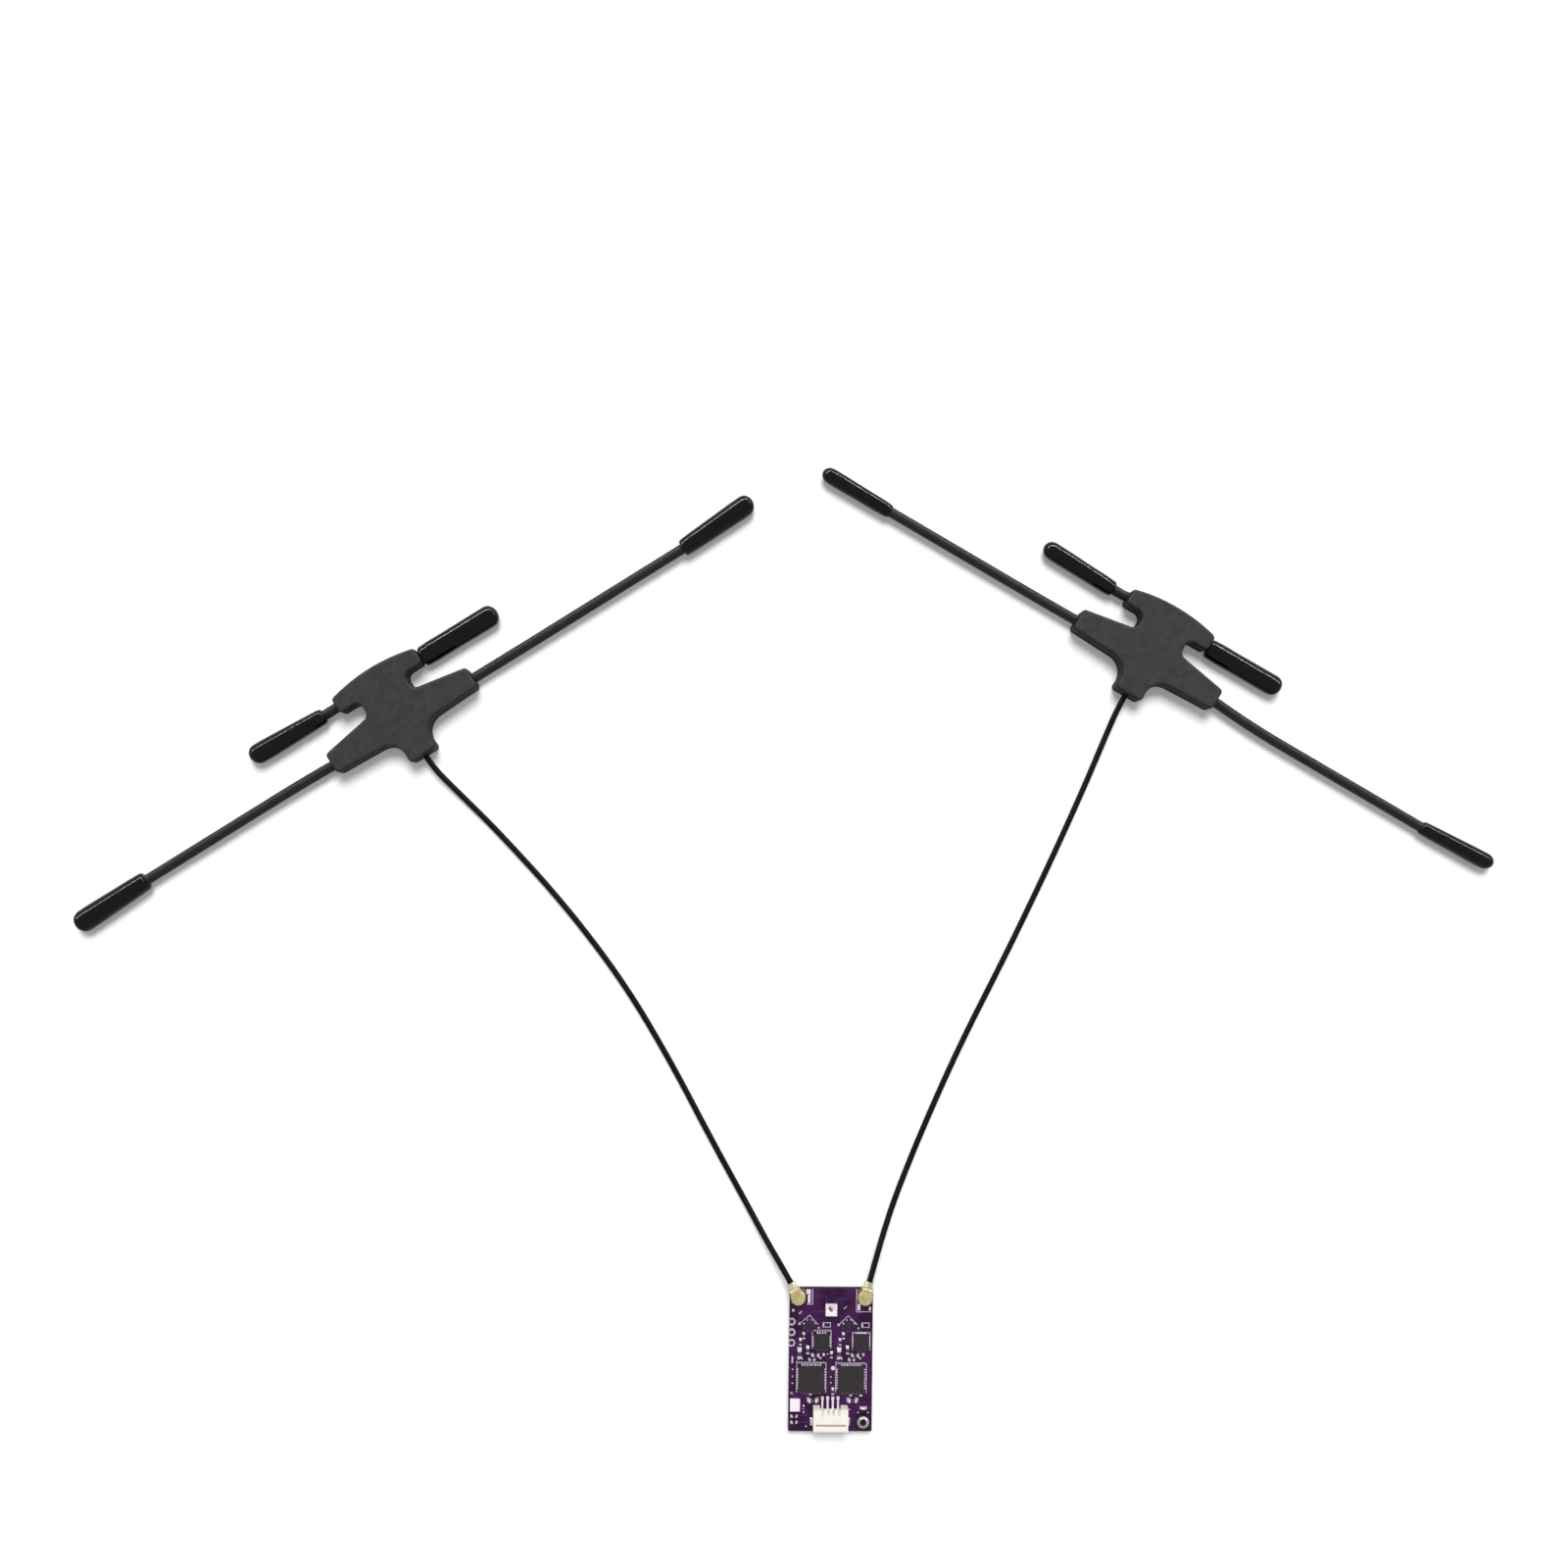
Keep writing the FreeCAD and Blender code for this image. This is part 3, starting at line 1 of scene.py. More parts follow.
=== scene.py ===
import bmesh
import bpy
import math
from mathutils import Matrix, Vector


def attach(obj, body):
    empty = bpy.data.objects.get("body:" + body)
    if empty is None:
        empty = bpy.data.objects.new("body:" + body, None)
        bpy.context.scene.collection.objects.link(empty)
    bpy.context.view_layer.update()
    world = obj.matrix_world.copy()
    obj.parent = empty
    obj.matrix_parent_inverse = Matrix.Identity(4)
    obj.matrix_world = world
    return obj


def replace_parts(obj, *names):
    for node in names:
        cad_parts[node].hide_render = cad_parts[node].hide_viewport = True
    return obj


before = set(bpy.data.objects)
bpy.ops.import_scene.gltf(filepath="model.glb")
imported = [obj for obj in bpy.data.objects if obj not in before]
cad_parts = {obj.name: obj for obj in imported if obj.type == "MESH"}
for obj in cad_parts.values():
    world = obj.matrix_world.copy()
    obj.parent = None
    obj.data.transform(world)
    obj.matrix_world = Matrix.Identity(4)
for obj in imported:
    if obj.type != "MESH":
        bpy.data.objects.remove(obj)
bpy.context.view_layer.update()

# COAX LEADS. Two thin black leads run over the table from the aerials' necks to the
# plugs. The jacket is extruded fluoropolymer, smooth and a little waxy, and the lead
# keeps the slow bends of the way it was coiled. It is held by the crimp and the neck.


def linear(code):
    """Linear colour of a written screen colour such as #3f2445."""
    parts = [int(code[i:i + 2], 16) / 255 for i in (1, 3, 5)]
    return [p / 12.92 if p <= 0.04045 else ((p + 0.055) / 1.055) ** 2.4 for p in parts] + [1.0]


def add_node(tree, kind, settings, inputs):
    """Shader node of one kind. An input is a value, or the output that feeds it."""
    node = tree.nodes.new("ShaderNode" + kind)
    for name, value in settings.items():
        setattr(node, name, value)
    for key, value in inputs.items():
        if isinstance(value, bpy.types.NodeSocket):
            tree.links.new(value, node.inputs[key])
        else:
            node.inputs[key].default_value = value
    return node


def new_material(name):
    """Empty material, its node tree, and the point of the object that is shaded."""
    material = bpy.data.materials.new(name)
    material.use_nodes = True
    tree = material.node_tree
    tree.nodes.clear()
    return material, tree, add_node(tree, "TexCoord", {}, {}).outputs["Object"]


def grained(name, colours, grain, relief, roughness, painted_shade_sides=None, **shader):
    """Material mottled between two colours, with a grain in millimetres that is relief millimetres
    deep and a roughness that wanders between two values. Where a colour of painted shade for the
    sides is given, upright faces take it, whatever side they are seen from: painted shade, darker
    than the tops."""
    material, tree, place = new_material(name)
    patches = add_node(tree, "TexNoise", {}, {"Vector": place, "Scale": 150 / grain, "Detail": 4.0})
    spread = {"From Min": 0.35, "From Max": 0.65}
    share = add_node(tree, "MapRange", {}, {"Value": patches.outputs["Fac"], **spread})
    colour = add_node(tree, "Mix", {"data_type": "RGBA"},
                      {0: share.outputs[0], 6: linear(colours[0]), 7: linear(colours[1])})
    # Painted shade: upright faces are coloured with the darker side colour.
    if painted_shade_sides:
        facing = add_node(tree, "NewGeometry", {}, {}).outputs["Normal"]
        upward = add_node(tree, "SeparateXYZ", {}, {0: facing}).outputs["Z"]
        flat = add_node(tree, "MapRange", {}, {"Value": upward, "From Min": 0.45, "From Max": 0.8})
        colour = add_node(tree, "Mix", {"data_type": "RGBA"},
                          {0: flat.outputs[0], 6: linear(painted_shade_sides), 7: colour.outputs[2]})
    fine = add_node(tree, "TexNoise", {}, {"Vector": place, "Scale": 1000 / grain, "Detail": 2.0})
    gloss = add_node(tree, "MapRange", {}, {"Value": fine.outputs["Fac"], **spread,
                                            "To Min": roughness[0], "To Max": roughness[1]})
    bump = add_node(tree, "Bump", {}, {"Distance": relief / 1000, "Height": fine.outputs["Fac"]})
    shader = {key.replace("_", " "): value for key, value in shader.items()}
    skin = add_node(tree, "BsdfPrincipled", {}, {
        "Base Color": colour.outputs[2], "Roughness": gloss.outputs[0],
        "Normal": bump.outputs[0], **shader})
    add_node(tree, "OutputMaterial", {}, {"Surface": skin.outputs[0]})
    return material


# Extruded jacket: near black, with the faint lengthwise unevenness that breaks up
# the long highlight; the real die lines are finer than can be seen.
JACKET = grained("black extruded fluoropolymer jacket", ("#080808", "#101010"), 0.5, 0.006,
                 (0.5, 0.65), IOR=1.38, Specular_IOR_Level=0.1)

LEAD_DIAMETER = 0.00113
LEFT_ROUTE = [
    (-0.0797801, 0.1146858, 0.0018),
    (-0.07822, 0.1123, 0.00178),
    (-0.0733, 0.1075, 0.0009),
    (-0.0656, 0.1001, 0.00057),
    (-0.0529, 0.0866, 0.00057),
    (-0.0412, 0.0718, 0.00057),
    (-0.0320, 0.0570, 0.00057),
    (-0.0234, 0.0412, 0.00057),
    (-0.0163, 0.0288, 0.00075),
    (-0.0126, 0.0224, 0.00175),
    (-0.0099, 0.0182, 0.0030),
    (-0.0079023, 0.0148254, 0.00325),
]
RIGHT_ROUTE = [
    (0.0564979, 0.1286310, 0.0018),
    (0.05495, 0.1259, 0.00178),
    (0.0527, 0.1202, 0.0009),
    (0.0486, 0.1102, 0.00057),
    (0.0416, 0.0946, 0.00057),
    (0.0332, 0.0770, 0.00057),
    (0.0247, 0.0602, 0.00057),
    (0.0177, 0.0444, 0.00057),
    (0.0124, 0.0312, 0.0007),
    (0.0100, 0.0242, 0.0016),
    (0.0083, 0.0189, 0.00295),
    (0.0072282, 0.0150910, 0.00325),
]
for side, route, length in (("left", LEFT_ROUTE, 0.1240), ("right", RIGHT_ROUTE, 0.1242)):
    curve = bpy.data.curves.new("coax_lead_" + side, "CURVE")
    curve.dimensions = "3D"
    curve.bevel_depth = LEAD_DIAMETER / 2
    curve.bevel_resolution = 5
    curve.resolution_u = 24
    line = curve.splines.new("NURBS")
    line.points.add(len(route) - 1)
    for point, spot in zip(line.points, route):
        point.co = (*spot, 1.0)
    line.order_u = 3
    line.use_endpoint_u = True
    curve.materials.append(JACKET)
    lead = bpy.data.objects.new("coax_lead_" + side, curve)
    bpy.context.collection.objects.link(lead)
    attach(lead, "receiver")
    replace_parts(lead, "lead_" + side)

# CIRCUIT BOARD. Glass-fibre laminate, 1 mm thick, routed to shape; copper tracks lie
# under a deep purple solder mask, sprayed and cured to a gloss. Outlines round the
# chips are printed on it in white ink, and the pads are bare and tinned.

BOARD_TOP = 1.9
PRINT_TOP = BOARD_TOP + 0.02
TRACK_TOP = BOARD_TOP + 0.01
CHANNELS = (-3.7, 3.9)  # middle of each row of chips, one row to a radio channel


def prism(bm, ring, low, high, index=0):
    """Upright prism in millimetres over a ring that runs anticlockwise."""
    bottom = [bm.verts.new((x, y, low)) for x, y in ring]
    top = [bm.verts.new((x, y, high)) for x, y in ring]
    faces = [bm.faces.new(top), bm.faces.new(bottom[::-1])]
    for i, corner in enumerate(bottom):
        j = (i + 1) % len(ring)
        faces.append(bm.faces.new((corner, bottom[j], top[j], top[i])))
    for face in faces:
        face.material_index = index


def oblong(x, y, length, width, turn=0.0):
    """Ring of a rectangle's corners, its length along X before the turn."""
    c, s = math.cos(math.radians(turn)), math.sin(math.radians(turn))
    corners = [(-length / 2, -width / 2), (length / 2, -width / 2),
               (length / 2, width / 2), (-length / 2, width / 2)]
    return [(x + c * u - s * v, y + s * u + c * v) for u, v in corners]


def full_turn(count):
    """Angles of a full turn in equal steps."""
    return [2 * math.pi * i / count for i in range(count)]


def disc(x, y, radius, count=20):
    return [(x + radius * math.cos(t), y + radius * math.sin(t)) for t in full_turn(count)]


def line_ring(spots, width):
    """Ring round a line of one width, mitred where the line turns."""
    spots = [Vector(spot) for spot in spots]
    left, right = [], []
    for i, spot in enumerate(spots):
        ahead = (spots[i + 1] - spot).normalized() if i + 1 < len(spots) else None
        back = (spot - spots[i - 1]).normalized() if i else ahead
        ahead = ahead or back
        across = Vector((-back.y - ahead.y, back.x + ahead.x)).normalized()
        reach = width / 2 / across.dot(Vector((-ahead.y, ahead.x)))
        left.append(spot + across * reach)
        right.append(spot - across * reach)
    return right + left[::-1]


def new_piece(name, bm, materials, bevel=0.0, segments=2, body="receiver"):
    """Object of a mesh drawn in millimetres, its edges bevelled, riding on a body."""
    if bevel:
        bmesh.ops.bevel(bm, geom=bm.edges[:], offset=bevel, segments=segments, profile=0.6,
                        affect="EDGES", clamp_overlap=True)
    bmesh.ops.scale(bm, vec=(0.001, 0.001, 0.001), verts=bm.verts)
    bmesh.ops.recalc_face_normals(bm, faces=bm.faces)
    mesh = bpy.data.meshes.new(name)
    bm.to_mesh(mesh)
    bm.free()
    for material in materials:
        mesh.materials.append(material)
    mesh.polygons.foreach_set("use_smooth", [True] * len(mesh.polygons))
    mesh.set_sharp_from_angle(angle=math.radians(40))
    piece = bpy.data.objects.new(name, mesh)
    bpy.context.collection.objects.link(piece)
    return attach(piece, body)


def coat(material, *names):
    """Give CAD nodes a material."""
    for name in names:
        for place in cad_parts[name].material_slots:
            place.material = material


def board_material():
    """Solder mask over copper and bare laminate, and sawn glass fibre at the edges."""
    material, tree, place = new_material("purple solder mask on glass-fibre laminate")
    normal = add_node(tree, "NewGeometry", {}, {}).outputs["True Normal"]
    height = add_node(tree, "SeparateXYZ", {}, {0: normal}).outputs[2]
    flat = add_node(tree, "Math", {"operation": "ABSOLUTE"}, {0: height})
    is_face = add_node(tree, "Math", {"operation": "GREATER_THAN"}, {0: flat.outputs[0], 1: 0.5})
    # Copper pour: areas a few millimetres wide, lighter under the mask than laminate.
    pour = add_node(tree, "TexNoise", {}, {"Vector": place, "Scale": 260.0, "Detail": 1.0})
    pour = add_node(tree, "MapRange", {}, {"Value": pour.outputs["Fac"], "From Min": 0.44,
                                           "From Max": 0.56})
    mask = add_node(tree, "Mix", {"data_type": "RGBA"},
                    {0: pour.outputs[0], 6: linear("#2c0d33"), 7: linear("#3e1747")})
    # Glass cloth: yarns about half a millimetre apart, seen on the sawn edges.
    weave = add_node(tree, "TexWave", {"bands_direction": "Z"},
                     {"Vector": place, "Scale": 1400.0, "Distortion": 1.5, "Detail": 2.0})
    edge = add_node(tree, "Mix", {"data_type": "RGBA"},
                    {0: weave.outputs["Fac"], 6: linear("#2f2a2c"), 7: linear("#4c443f")})
    colour = add_node(tree, "Mix", {"data_type": "RGBA"},
                      {0: is_face.outputs[0], 6: edge.outputs[2], 7: mask.outputs[2]})
    gloss = add_node(tree, "MapRange", {}, {"Value": is_face.outputs[0], "To Min": 0.75,
                                            "To Max": 0.3})
    # The weave shows through the mask as a faint print-through.
    cloth = add_node(tree, "TexVoronoi", {}, {"Vector": place, "Scale": 2000.0})
    bump = add_node(tree, "Bump", {}, {"Distance": 0.000006, "Height": cloth.outputs["Distance"]})
    skin = add_node(tree, "BsdfPrincipled", {}, {
        "Base Color": colour.outputs[2], "Roughness": gloss.outputs[0],
        "Specular IOR Level": 0.14, "Normal": bump.outputs[0]})
    add_node(tree, "OutputMaterial", {}, {"Surface": skin.outputs[0]})
    return material


# White epoxy ink, screened thin: the purple shows through a little, and its edge is
# ragged at a scale finer than this grain.
INK = grained("screen-printed white epoxy ink", ("#b3a6b8", "#dcd1e0"), 0.15, 0.01, (0.5, 0.7))
# The same mask over copper tracks, which reads a little lighter than over laminate.
TRACK = grained("purple solder mask over copper tracks", ("#432049", "#522b59"), 0.3, 0.004,
                (0.25, 0.35), Specular_IOR_Level=0.15)
# Tin-silver solder, wetted and frozen: bright, with a fine frosted grain.
SOLDER = grained("reflowed tin solder", ("#cfc8d0", "#eae4ea"), 0.12, 0.01, (0.38, 0.5),
                 Metallic=0.6)
coat(board_material(), "circuit_board")

# Middle lines of the printed outlines and of the bold bars along some of them, and the
# dots that mark the chips' first pins, each with its radius.
PRINTED_LINES = [
    [(-6.49, -6.27), (-6.49, -0.70), (-0.87, -0.70), (-0.87, -6.27)],
    [(1.02, -6.34), (1.02, -0.80), (6.88, -0.80), (6.88, -6.34)],
    [(-3.56, 2.04), (-3.56, 5.50), (0.03, 5.50), (0.03, 2.04)],
    [(4.16, 1.70), (4.16, 5.10), (7.52, 5.10), (7.52, 1.70)],
    [(-6.02, 6.74), (-4.10, 8.32), (-2.48, 6.53)],
    [(1.50, 6.58), (3.31, 8.22), (5.03, 6.56)],
    [(-1.70, 6.90), (-0.10, 6.90), (-0.10, 6.10), (-1.70, 6.10)],
    [(5.83, 6.88), (7.34, 6.88), (7.34, 6.05), (5.83, 6.05)],
    [(-4.70, 10.38), (-3.60, 10.38), (-3.60, 13.30)],
    [(4.86, 13.30), (4.87, 9.00), (7.70, 9.02)],
    [(2.40, 9.50), (3.00, 10.0)],
]
BOLD_LINES = [
    [(-6.40, -0.66), (-0.95, -0.66)],
    [(1.10, -0.76), (6.80, -0.76)],
    [(-3.30, 5.46), (0.00, 5.46)],
    [(4.40, 5.06), (7.45, 5.06)],
    [(-7.35, 0.54), (-7.35, -0.75)],
]
PRINTED_DOTS = [(-6.45, -0.55, 0.20), (1.10, -0.62, 0.20), (-6.05, 6.70, 0.27),
                (1.47, 6.52, 0.25), (-2.35, 5.92, 0.20), (5.28, 5.86, 0.20),
                (-7.28, 9.23, 0.28), (-7.42, -6.38, 0.25), (-6.05, 8.68, 0.16)]
ink = bmesh.new()
for lines, width in ((PRINTED_LINES, 0.13), (BOLD_LINES, 0.30)):
    for spots in lines:
        prism(ink, line_ring(spots, width), BOARD_TOP, PRINT_TOP)
for x, y, radius in PRINTED_DOTS:
    prism(ink, disc(x, y, radius), BOARD_TOP, PRINT_TOP)
new_piece("printed_outlines", ink, [INK])

TRACKS = [
    [(-1.5, -6.9), (-1.5, -6.3), (-0.35, -5.1), (-0.35, -0.3), (-0.9, 0.3), (-0.9, 1.6)],
    [(-0.5, -6.9), (-0.5, -6.2), (0.05, -5.6), (0.05, -0.2)],
    [(0.5, -6.9), (0.5, -6.7), (0.75, -6.4), (0.75, -2.2), (0.4, -1.8)],
    [(1.5, -6.9), (1.5, -6.6), (2.3, -6.6), (2.6, -6.9), (4.8, -6.9), (5.2, -7.3), (5.2, -9.6)],
    [(-7.0, 3.1), (-6.3, 3.1), (-5.9, 2.7)],
    [(-7.0, 5.1), (-6.2, 5.1), (-5.3, 4.2), (-5.3, 3.9)],
    [(-7.0, 7.1), (-6.6, 7.1), (-5.9, 7.8), (-3.2, 9.0), (-1.2, 9.0)],
    [(-6.3, 10.3), (-6.3, 9.4), (-4.9, 8.0), (-4.4, 7.5)],
    [(6.4, 10.3), (6.4, 9.7), (4.3, 7.6), (3.7, 7.5)],
    [(-3.9, 5.2), (-3.4, 4.7)],
    [(3.7, 5.2), (4.2, 4.7)],
    [(-2.2, 1.8), (-2.2, 0.9), (-2.9, 0.2), (-2.9, -0.4)],
    [(5.4, 1.8), (5.4, 0.9), (4.7, 0.2), (4.7, -0.4)],
    [(1.2, 9.0), (2.0, 8.2), (2.0, 5.0), (1.3, 4.3), (1.3, 2.0)],
    [(0.9, 10.3), (0.9, 11.4), (3.6, 11.4)],
    [(-0.9, 10.3), (-0.9, 11.9), (-3.8, 11.9)],
    [(-5.8, -8.7), (-4.7, -7.6), (-4.7, -6.8)],
    [(-6.4, -10.6), (-4.4, -10.6), (-4.4, -9.4)],
    [(-6.4, -11.8), (-4.1, -11.8)],
]
tracks = bmesh.new()
for spots in TRACKS:
    prism(tracks, line_ring(spots, 0.2), BOARD_TOP, TRACK_TOP)
new_piece("copper_tracks", tracks, [TRACK])

# Plated through-holes as (x, y), and bare pads as (x, y, length, width).
VIAS = [(-5.74, 8.97), (-0.6, 1.0), (1.8, 3.3), (-7.3, -1.9), (-7.3, -3.2), (-7.3, -4.5),
        (0.1, -3.3), (0.1, -4.4), (-4.6, -12.6), (-5.2, -9.3), (3.7, -9.4)]
PADS = [(-5.95, 0.2, 0.95, 0.5), (1.65, 0.2, 0.95, 0.5), (-1.45, 6.5, 0.25, 0.55),
        (6.0, 6.45, 0.3, 0.5), (-4.40, 12.75, 0.85, 0.9), (-4.25, 11.4, 0.5, 1.6),
        (5.35, 9.9, 0.5, 1.2), (7.45, 9.6, 0.4, 0.6), (-7.3, -6.4, 0.3, 0.5),
        (-3.79, -6.62, 0.5, 0.3), (3.91, -6.78, 0.5, 0.3), (5.88, -6.80, 0.55, 0.3),
        (-5.08, -9.95, 0.3, 0.3), (7.25, -10.1, 0.35, 0.45), (5.35, -10.1, 0.35, 0.45),
        (7.25, -13.05, 0.35, 0.45), (5.35, -13.05, 0.35, 0.45)]
bare = bmesh.new()
for x, y in VIAS:
    prism(bare, disc(x, y, 0.13, 12), BOARD_TOP, PRINT_TOP)
# A round test pad lies between the two radio chips.
prism(bare, disc(0.47, -1.65, 0.4, 24), BOARD_TOP, PRINT_TOP)
for x, y, length, width in PADS:
    prism(bare, oblong(x, y, length, width), BOARD_TOP, PRINT_TOP)
new_piece("bare_pads", bare, [SOLDER])

# EDGE CONTACTS. Three plated holes by the left edge: copper barrels and rims with
# nickel and a flash of gold; routing the board out cut the rims off flush.

# Immersion gold on nickel: pale, slightly rough from the copper under it.
PALE_GOLD = grained("immersion gold plating", ("#a89aa4", "#cbbfc6"), 0.2, 0.004, (0.38, 0.5),
                    Metallic=1.0)
coat(PALE_GOLD, "edge_contacts")
# Thin dark discs over each hole's mouth and round it: painted shade of the holes, dark brown and
# glassy.
HOLE_SHADE = grained("dark glassy painted hole shade", ("#0d080c", "#1a1118"), 0.1, 0.003, (0.3, 0.45))
HOLE_X = -7.55
HOLE_ROWS = (3.1, 5.1, 7.1)
mouths = bmesh.new()
for y in HOLE_ROWS:
    prism(mouths, disc(HOLE_X, y, 0.44, 24), BOARD_TOP + 0.065, BOARD_TOP + 0.07)
new_piece("hole_mouths", mouths, [HOLE_SHADE])

# CHIPS. Two radios, two amplifiers and two filters: flat packages moulded in black
# filled epoxy, with leads flush in their lower edges, soldered to pads round them.

# Epoxy with silica filler, as ejected from the mould: matt, faintly speckled.
EPOXY = grained("moulded black filled epoxy", ("#242024", "#2e292e"), 0.1, 0.008, (0.55, 0.75),
                Specular_IOR_Level=0.2)
# The filters' lids are smoother and bluish, and let a little purple show.
LID = grained("smooth filter lid", ("#311d37", "#3d2643"), 0.15, 0.004, (0.4, 0.55),
              Specular_IOR_Level=0.15)
coat(EPOXY, "radio_chip_left", "radio_chip_right", "amplifier_chip_left",
     "amplifier_chip_right", "microcontroller")
coat(LID, "filter_left", "filter_right")


def chip_leads(bm, x, y, side, count, pitch, width, turn=0.0, reach=0.32, level=BOARD_TOP, up=1):
    """Lead ends in a chip's lower edge and the solder that runs out from each."""
    for quarter in range(4):
        angle = math.radians(turn + 90 * quarter)
        c, s = math.cos(angle), math.sin(angle)
        for i in range(count):
            along = (i - (count - 1) / 2) * pitch
            for out, length, height in ((side / 2 + 0.005, 0.05, 0.2),
                                        (side / 2 + reach / 2, reach, 0.05)):
                spot = (x + c * out - s * along, y + s * out + c * along)
                ring = oblong(*spot, length, width, turn + 90 * quarter)
                if up > 0:
                    prism(bm, ring, level, level + height)
                else:
                    prism(bm, ring, level - height, level)


leads = bmesh.new()
for x in CHANNELS:
    chip_leads(leads, x, -3.65, 5.0, 8, 0.5, 0.24)
    chip_leads(leads, x + 1.9, 3.4, 3.0, 4, 0.5, 0.24, reach=0.25)
    chip_leads(leads, x - 0.45, 6.35, 2.0, 2, 0.9, 0.35, 45, reach=0.12)
new_piece("chip_leads", leads, [SOLDER])

# STATUS LIGHT. A white reflector case with a round window; three colour dies and a
# driver die sit on its floor, joined by gold bond wires and covered with clear resin.

# Reflector plastic: very white, matt.
REFLECTOR = grained("white reflector moulding", ("#efe4ef", "#fbf4fb"), 0.3, 0.004, (0.4, 0.55))
coat(REFLECTOR, "status_light_case")
# Sawn silicon: dark with a blue-green cast, polished.
SILICON = grained("polished silicon die", ("#060508", "#0e0c12"), 0.05, 0.001, (0.3, 0.4))
coat(SILICON, "status_light_driver")


def resin_material():
    """Clear resin with a milky cast: the dark driver shows through it, the rest is pale."""
    material, tree, place = new_material("clear encapsulating resin")
    milk = add_node(tree, "TexNoise", {}, {"Vector": place, "Scale": 2000.0})
    shade = add_node(tree, "MapRange", {}, {"Value": milk.outputs["Fac"], "To Min": 0.006,
                                            "To Max": 0.02})
    bump = add_node(tree, "Bump", {}, {"Distance": 0.000004, "Height": milk.outputs["Fac"]})
    skin = add_node(tree, "BsdfPrincipled", {}, {
        "Base Color": linear("#fbf4fb"), "Roughness": 0.12, "Alpha": shade.outputs[0],
        "Normal": bump.outputs[0]})
    add_node(tree, "OutputMaterial", {}, {"Surface": skin.outputs[0]})
    return material


# The resin's surface sags below the rim and stands up a little at the middle.
dome = bmesh.new()
for radius, level in ((0.83, 0.68), (0.6, 0.71), (0.3, 0.73)):
    prism(dome, disc(0.0, 9.5, radius, 32), BOARD_TOP + level - 0.03, BOARD_TOP + level)
resin = new_piece("resin_surface", dome, [resin_material()])
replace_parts(resin, "status_light_resin")
# Dies of the three colours: gallium compounds, honey-coloured, with bright pads.
DIE = grained("honey-coloured light dies", ("#d9cdb4", "#efe6d2"), 0.05, 0.001, (0.2, 0.3))
LIGHT_FLOOR = BOARD_TOP + 0.3
dies = bmesh.new()
for x, y in ((0.28, 9.72), (0.30, 9.28), (-0.22, 9.22)):
    prism(dies, oblong(x, y, 0.22, 0.18), LIGHT_FLOOR, LIGHT_FLOOR + 0.1)
new_piece("light_dies", dies, [DIE], bevel=0.01)
# Each bond wire arches from a pad on the driver to a die, or to the lead frame.
BOND_RADIUS = 0.000018
wires = bpy.data.curves.new("bond_wires", "CURVE")
wires.dimensions = "3D"
wires.bevel_depth = BOND_RADIUS
for start, end in (((-0.12, 9.76), (0.24, 9.74)), ((-0.12, 9.62), (0.26, 9.32)),
                   ((-0.28, 9.53), (-0.24, 9.28)), ((-0.42, 9.76), (-0.66, 9.70))):
    wire = wires.splines.new("NURBS")
    wire.points.add(3)
    for point, share, lift in zip(wire.points, (0.0, 0.2, 0.8, 1.0), (0.14, 0.3, 0.3, 0.1)):
        x = start[0] + (end[0] - start[0]) * share
        y = start[1] + (end[1] - start[1]) * share
        point.co = (x / 1000, y / 1000, (LIGHT_FLOOR + lift) / 1000, 1.0)
    wire.order_u = 3
    wire.use_endpoint_u = True
wires.materials.append(PALE_GOLD)
bonds = bpy.data.objects.new("bond_wires", wires)
bpy.context.collection.objects.link(bonds)
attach(bonds, "receiver")

# POWER SOCKET. A side-entry wire-to-board socket injection-moulded in natural nylon;
# four bent pins pressed in from behind and two anchors at the sides are soldered down.

# Natural nylon: warm white, a little glossy, soft in its shadows.
NYLON = grained("natural nylon moulding", ("#fbf3e9", "#fffaf1"), 0.4, 0.006, (0.4, 0.55),
                Subsurface_Weight=0.15, Subsurface_Radius=(0.001, 0.0008, 0.0006),
                Subsurface_Scale=1.0)
coat(NYLON, "socket_housing")
# A bridge across the mouth carries the roof on to the walls' ends, behind a latch slot.
bridge = bmesh.new()
prism(bridge, oblong(0.0, -12.225, 5.6, 0.95), BOARD_TOP + 2.45, BOARD_TOP + 2.9)
new_piece("socket_bridge", bridge, [NYLON], bevel=0.05)
# Pins of tinned bronze: matt bright tin.
TIN = grained("matt tin on bronze", ("#cbc5c9", "#e8e2e6"), 0.1, 0.003, (0.38, 0.5), Metallic=0.6)
coat(TIN, "socket_pins", "socket_anchors")


def join_rings(bm, rings, close=True, index=0):
    """Skin over rings of corners of one count, its two ends closed."""
    faces = []
    for low, high in zip(rings, rings[1:]):
        for i in range(len(low)):
            j = (i + 1) % len(low)
            faces.append(bm.faces.new((low[i], low[j], high[j], high[i])))
    if close:
        faces += [bm.faces.new(rings[0]), bm.faces.new(rings[-1])]
    for face in faces:
        face.material_index = index


def fillet(bm, x, y, length, width, height, turn=0.0, inner=(0.5, 0.5), level=BOARD_TOP):
    """Mound of solder with a hollow slope, drawn in to a smaller top."""
    rings = []
    for part, rise in ((1.0, 0.0), (0.62, 0.22), (0.3, 0.55), (0.0, 1.0)):
        long_side = length * (inner[0] + (1 - inner[0]) * part)
        wide_side = width * (inner[1] + (1 - inner[1]) * part)
        ring = oblong(x, y, long_side, wide_side, turn)
        rings.append([bm.verts.new((u, v, level + height * rise)) for u, v in ring])
    join_rings(bm, rings)


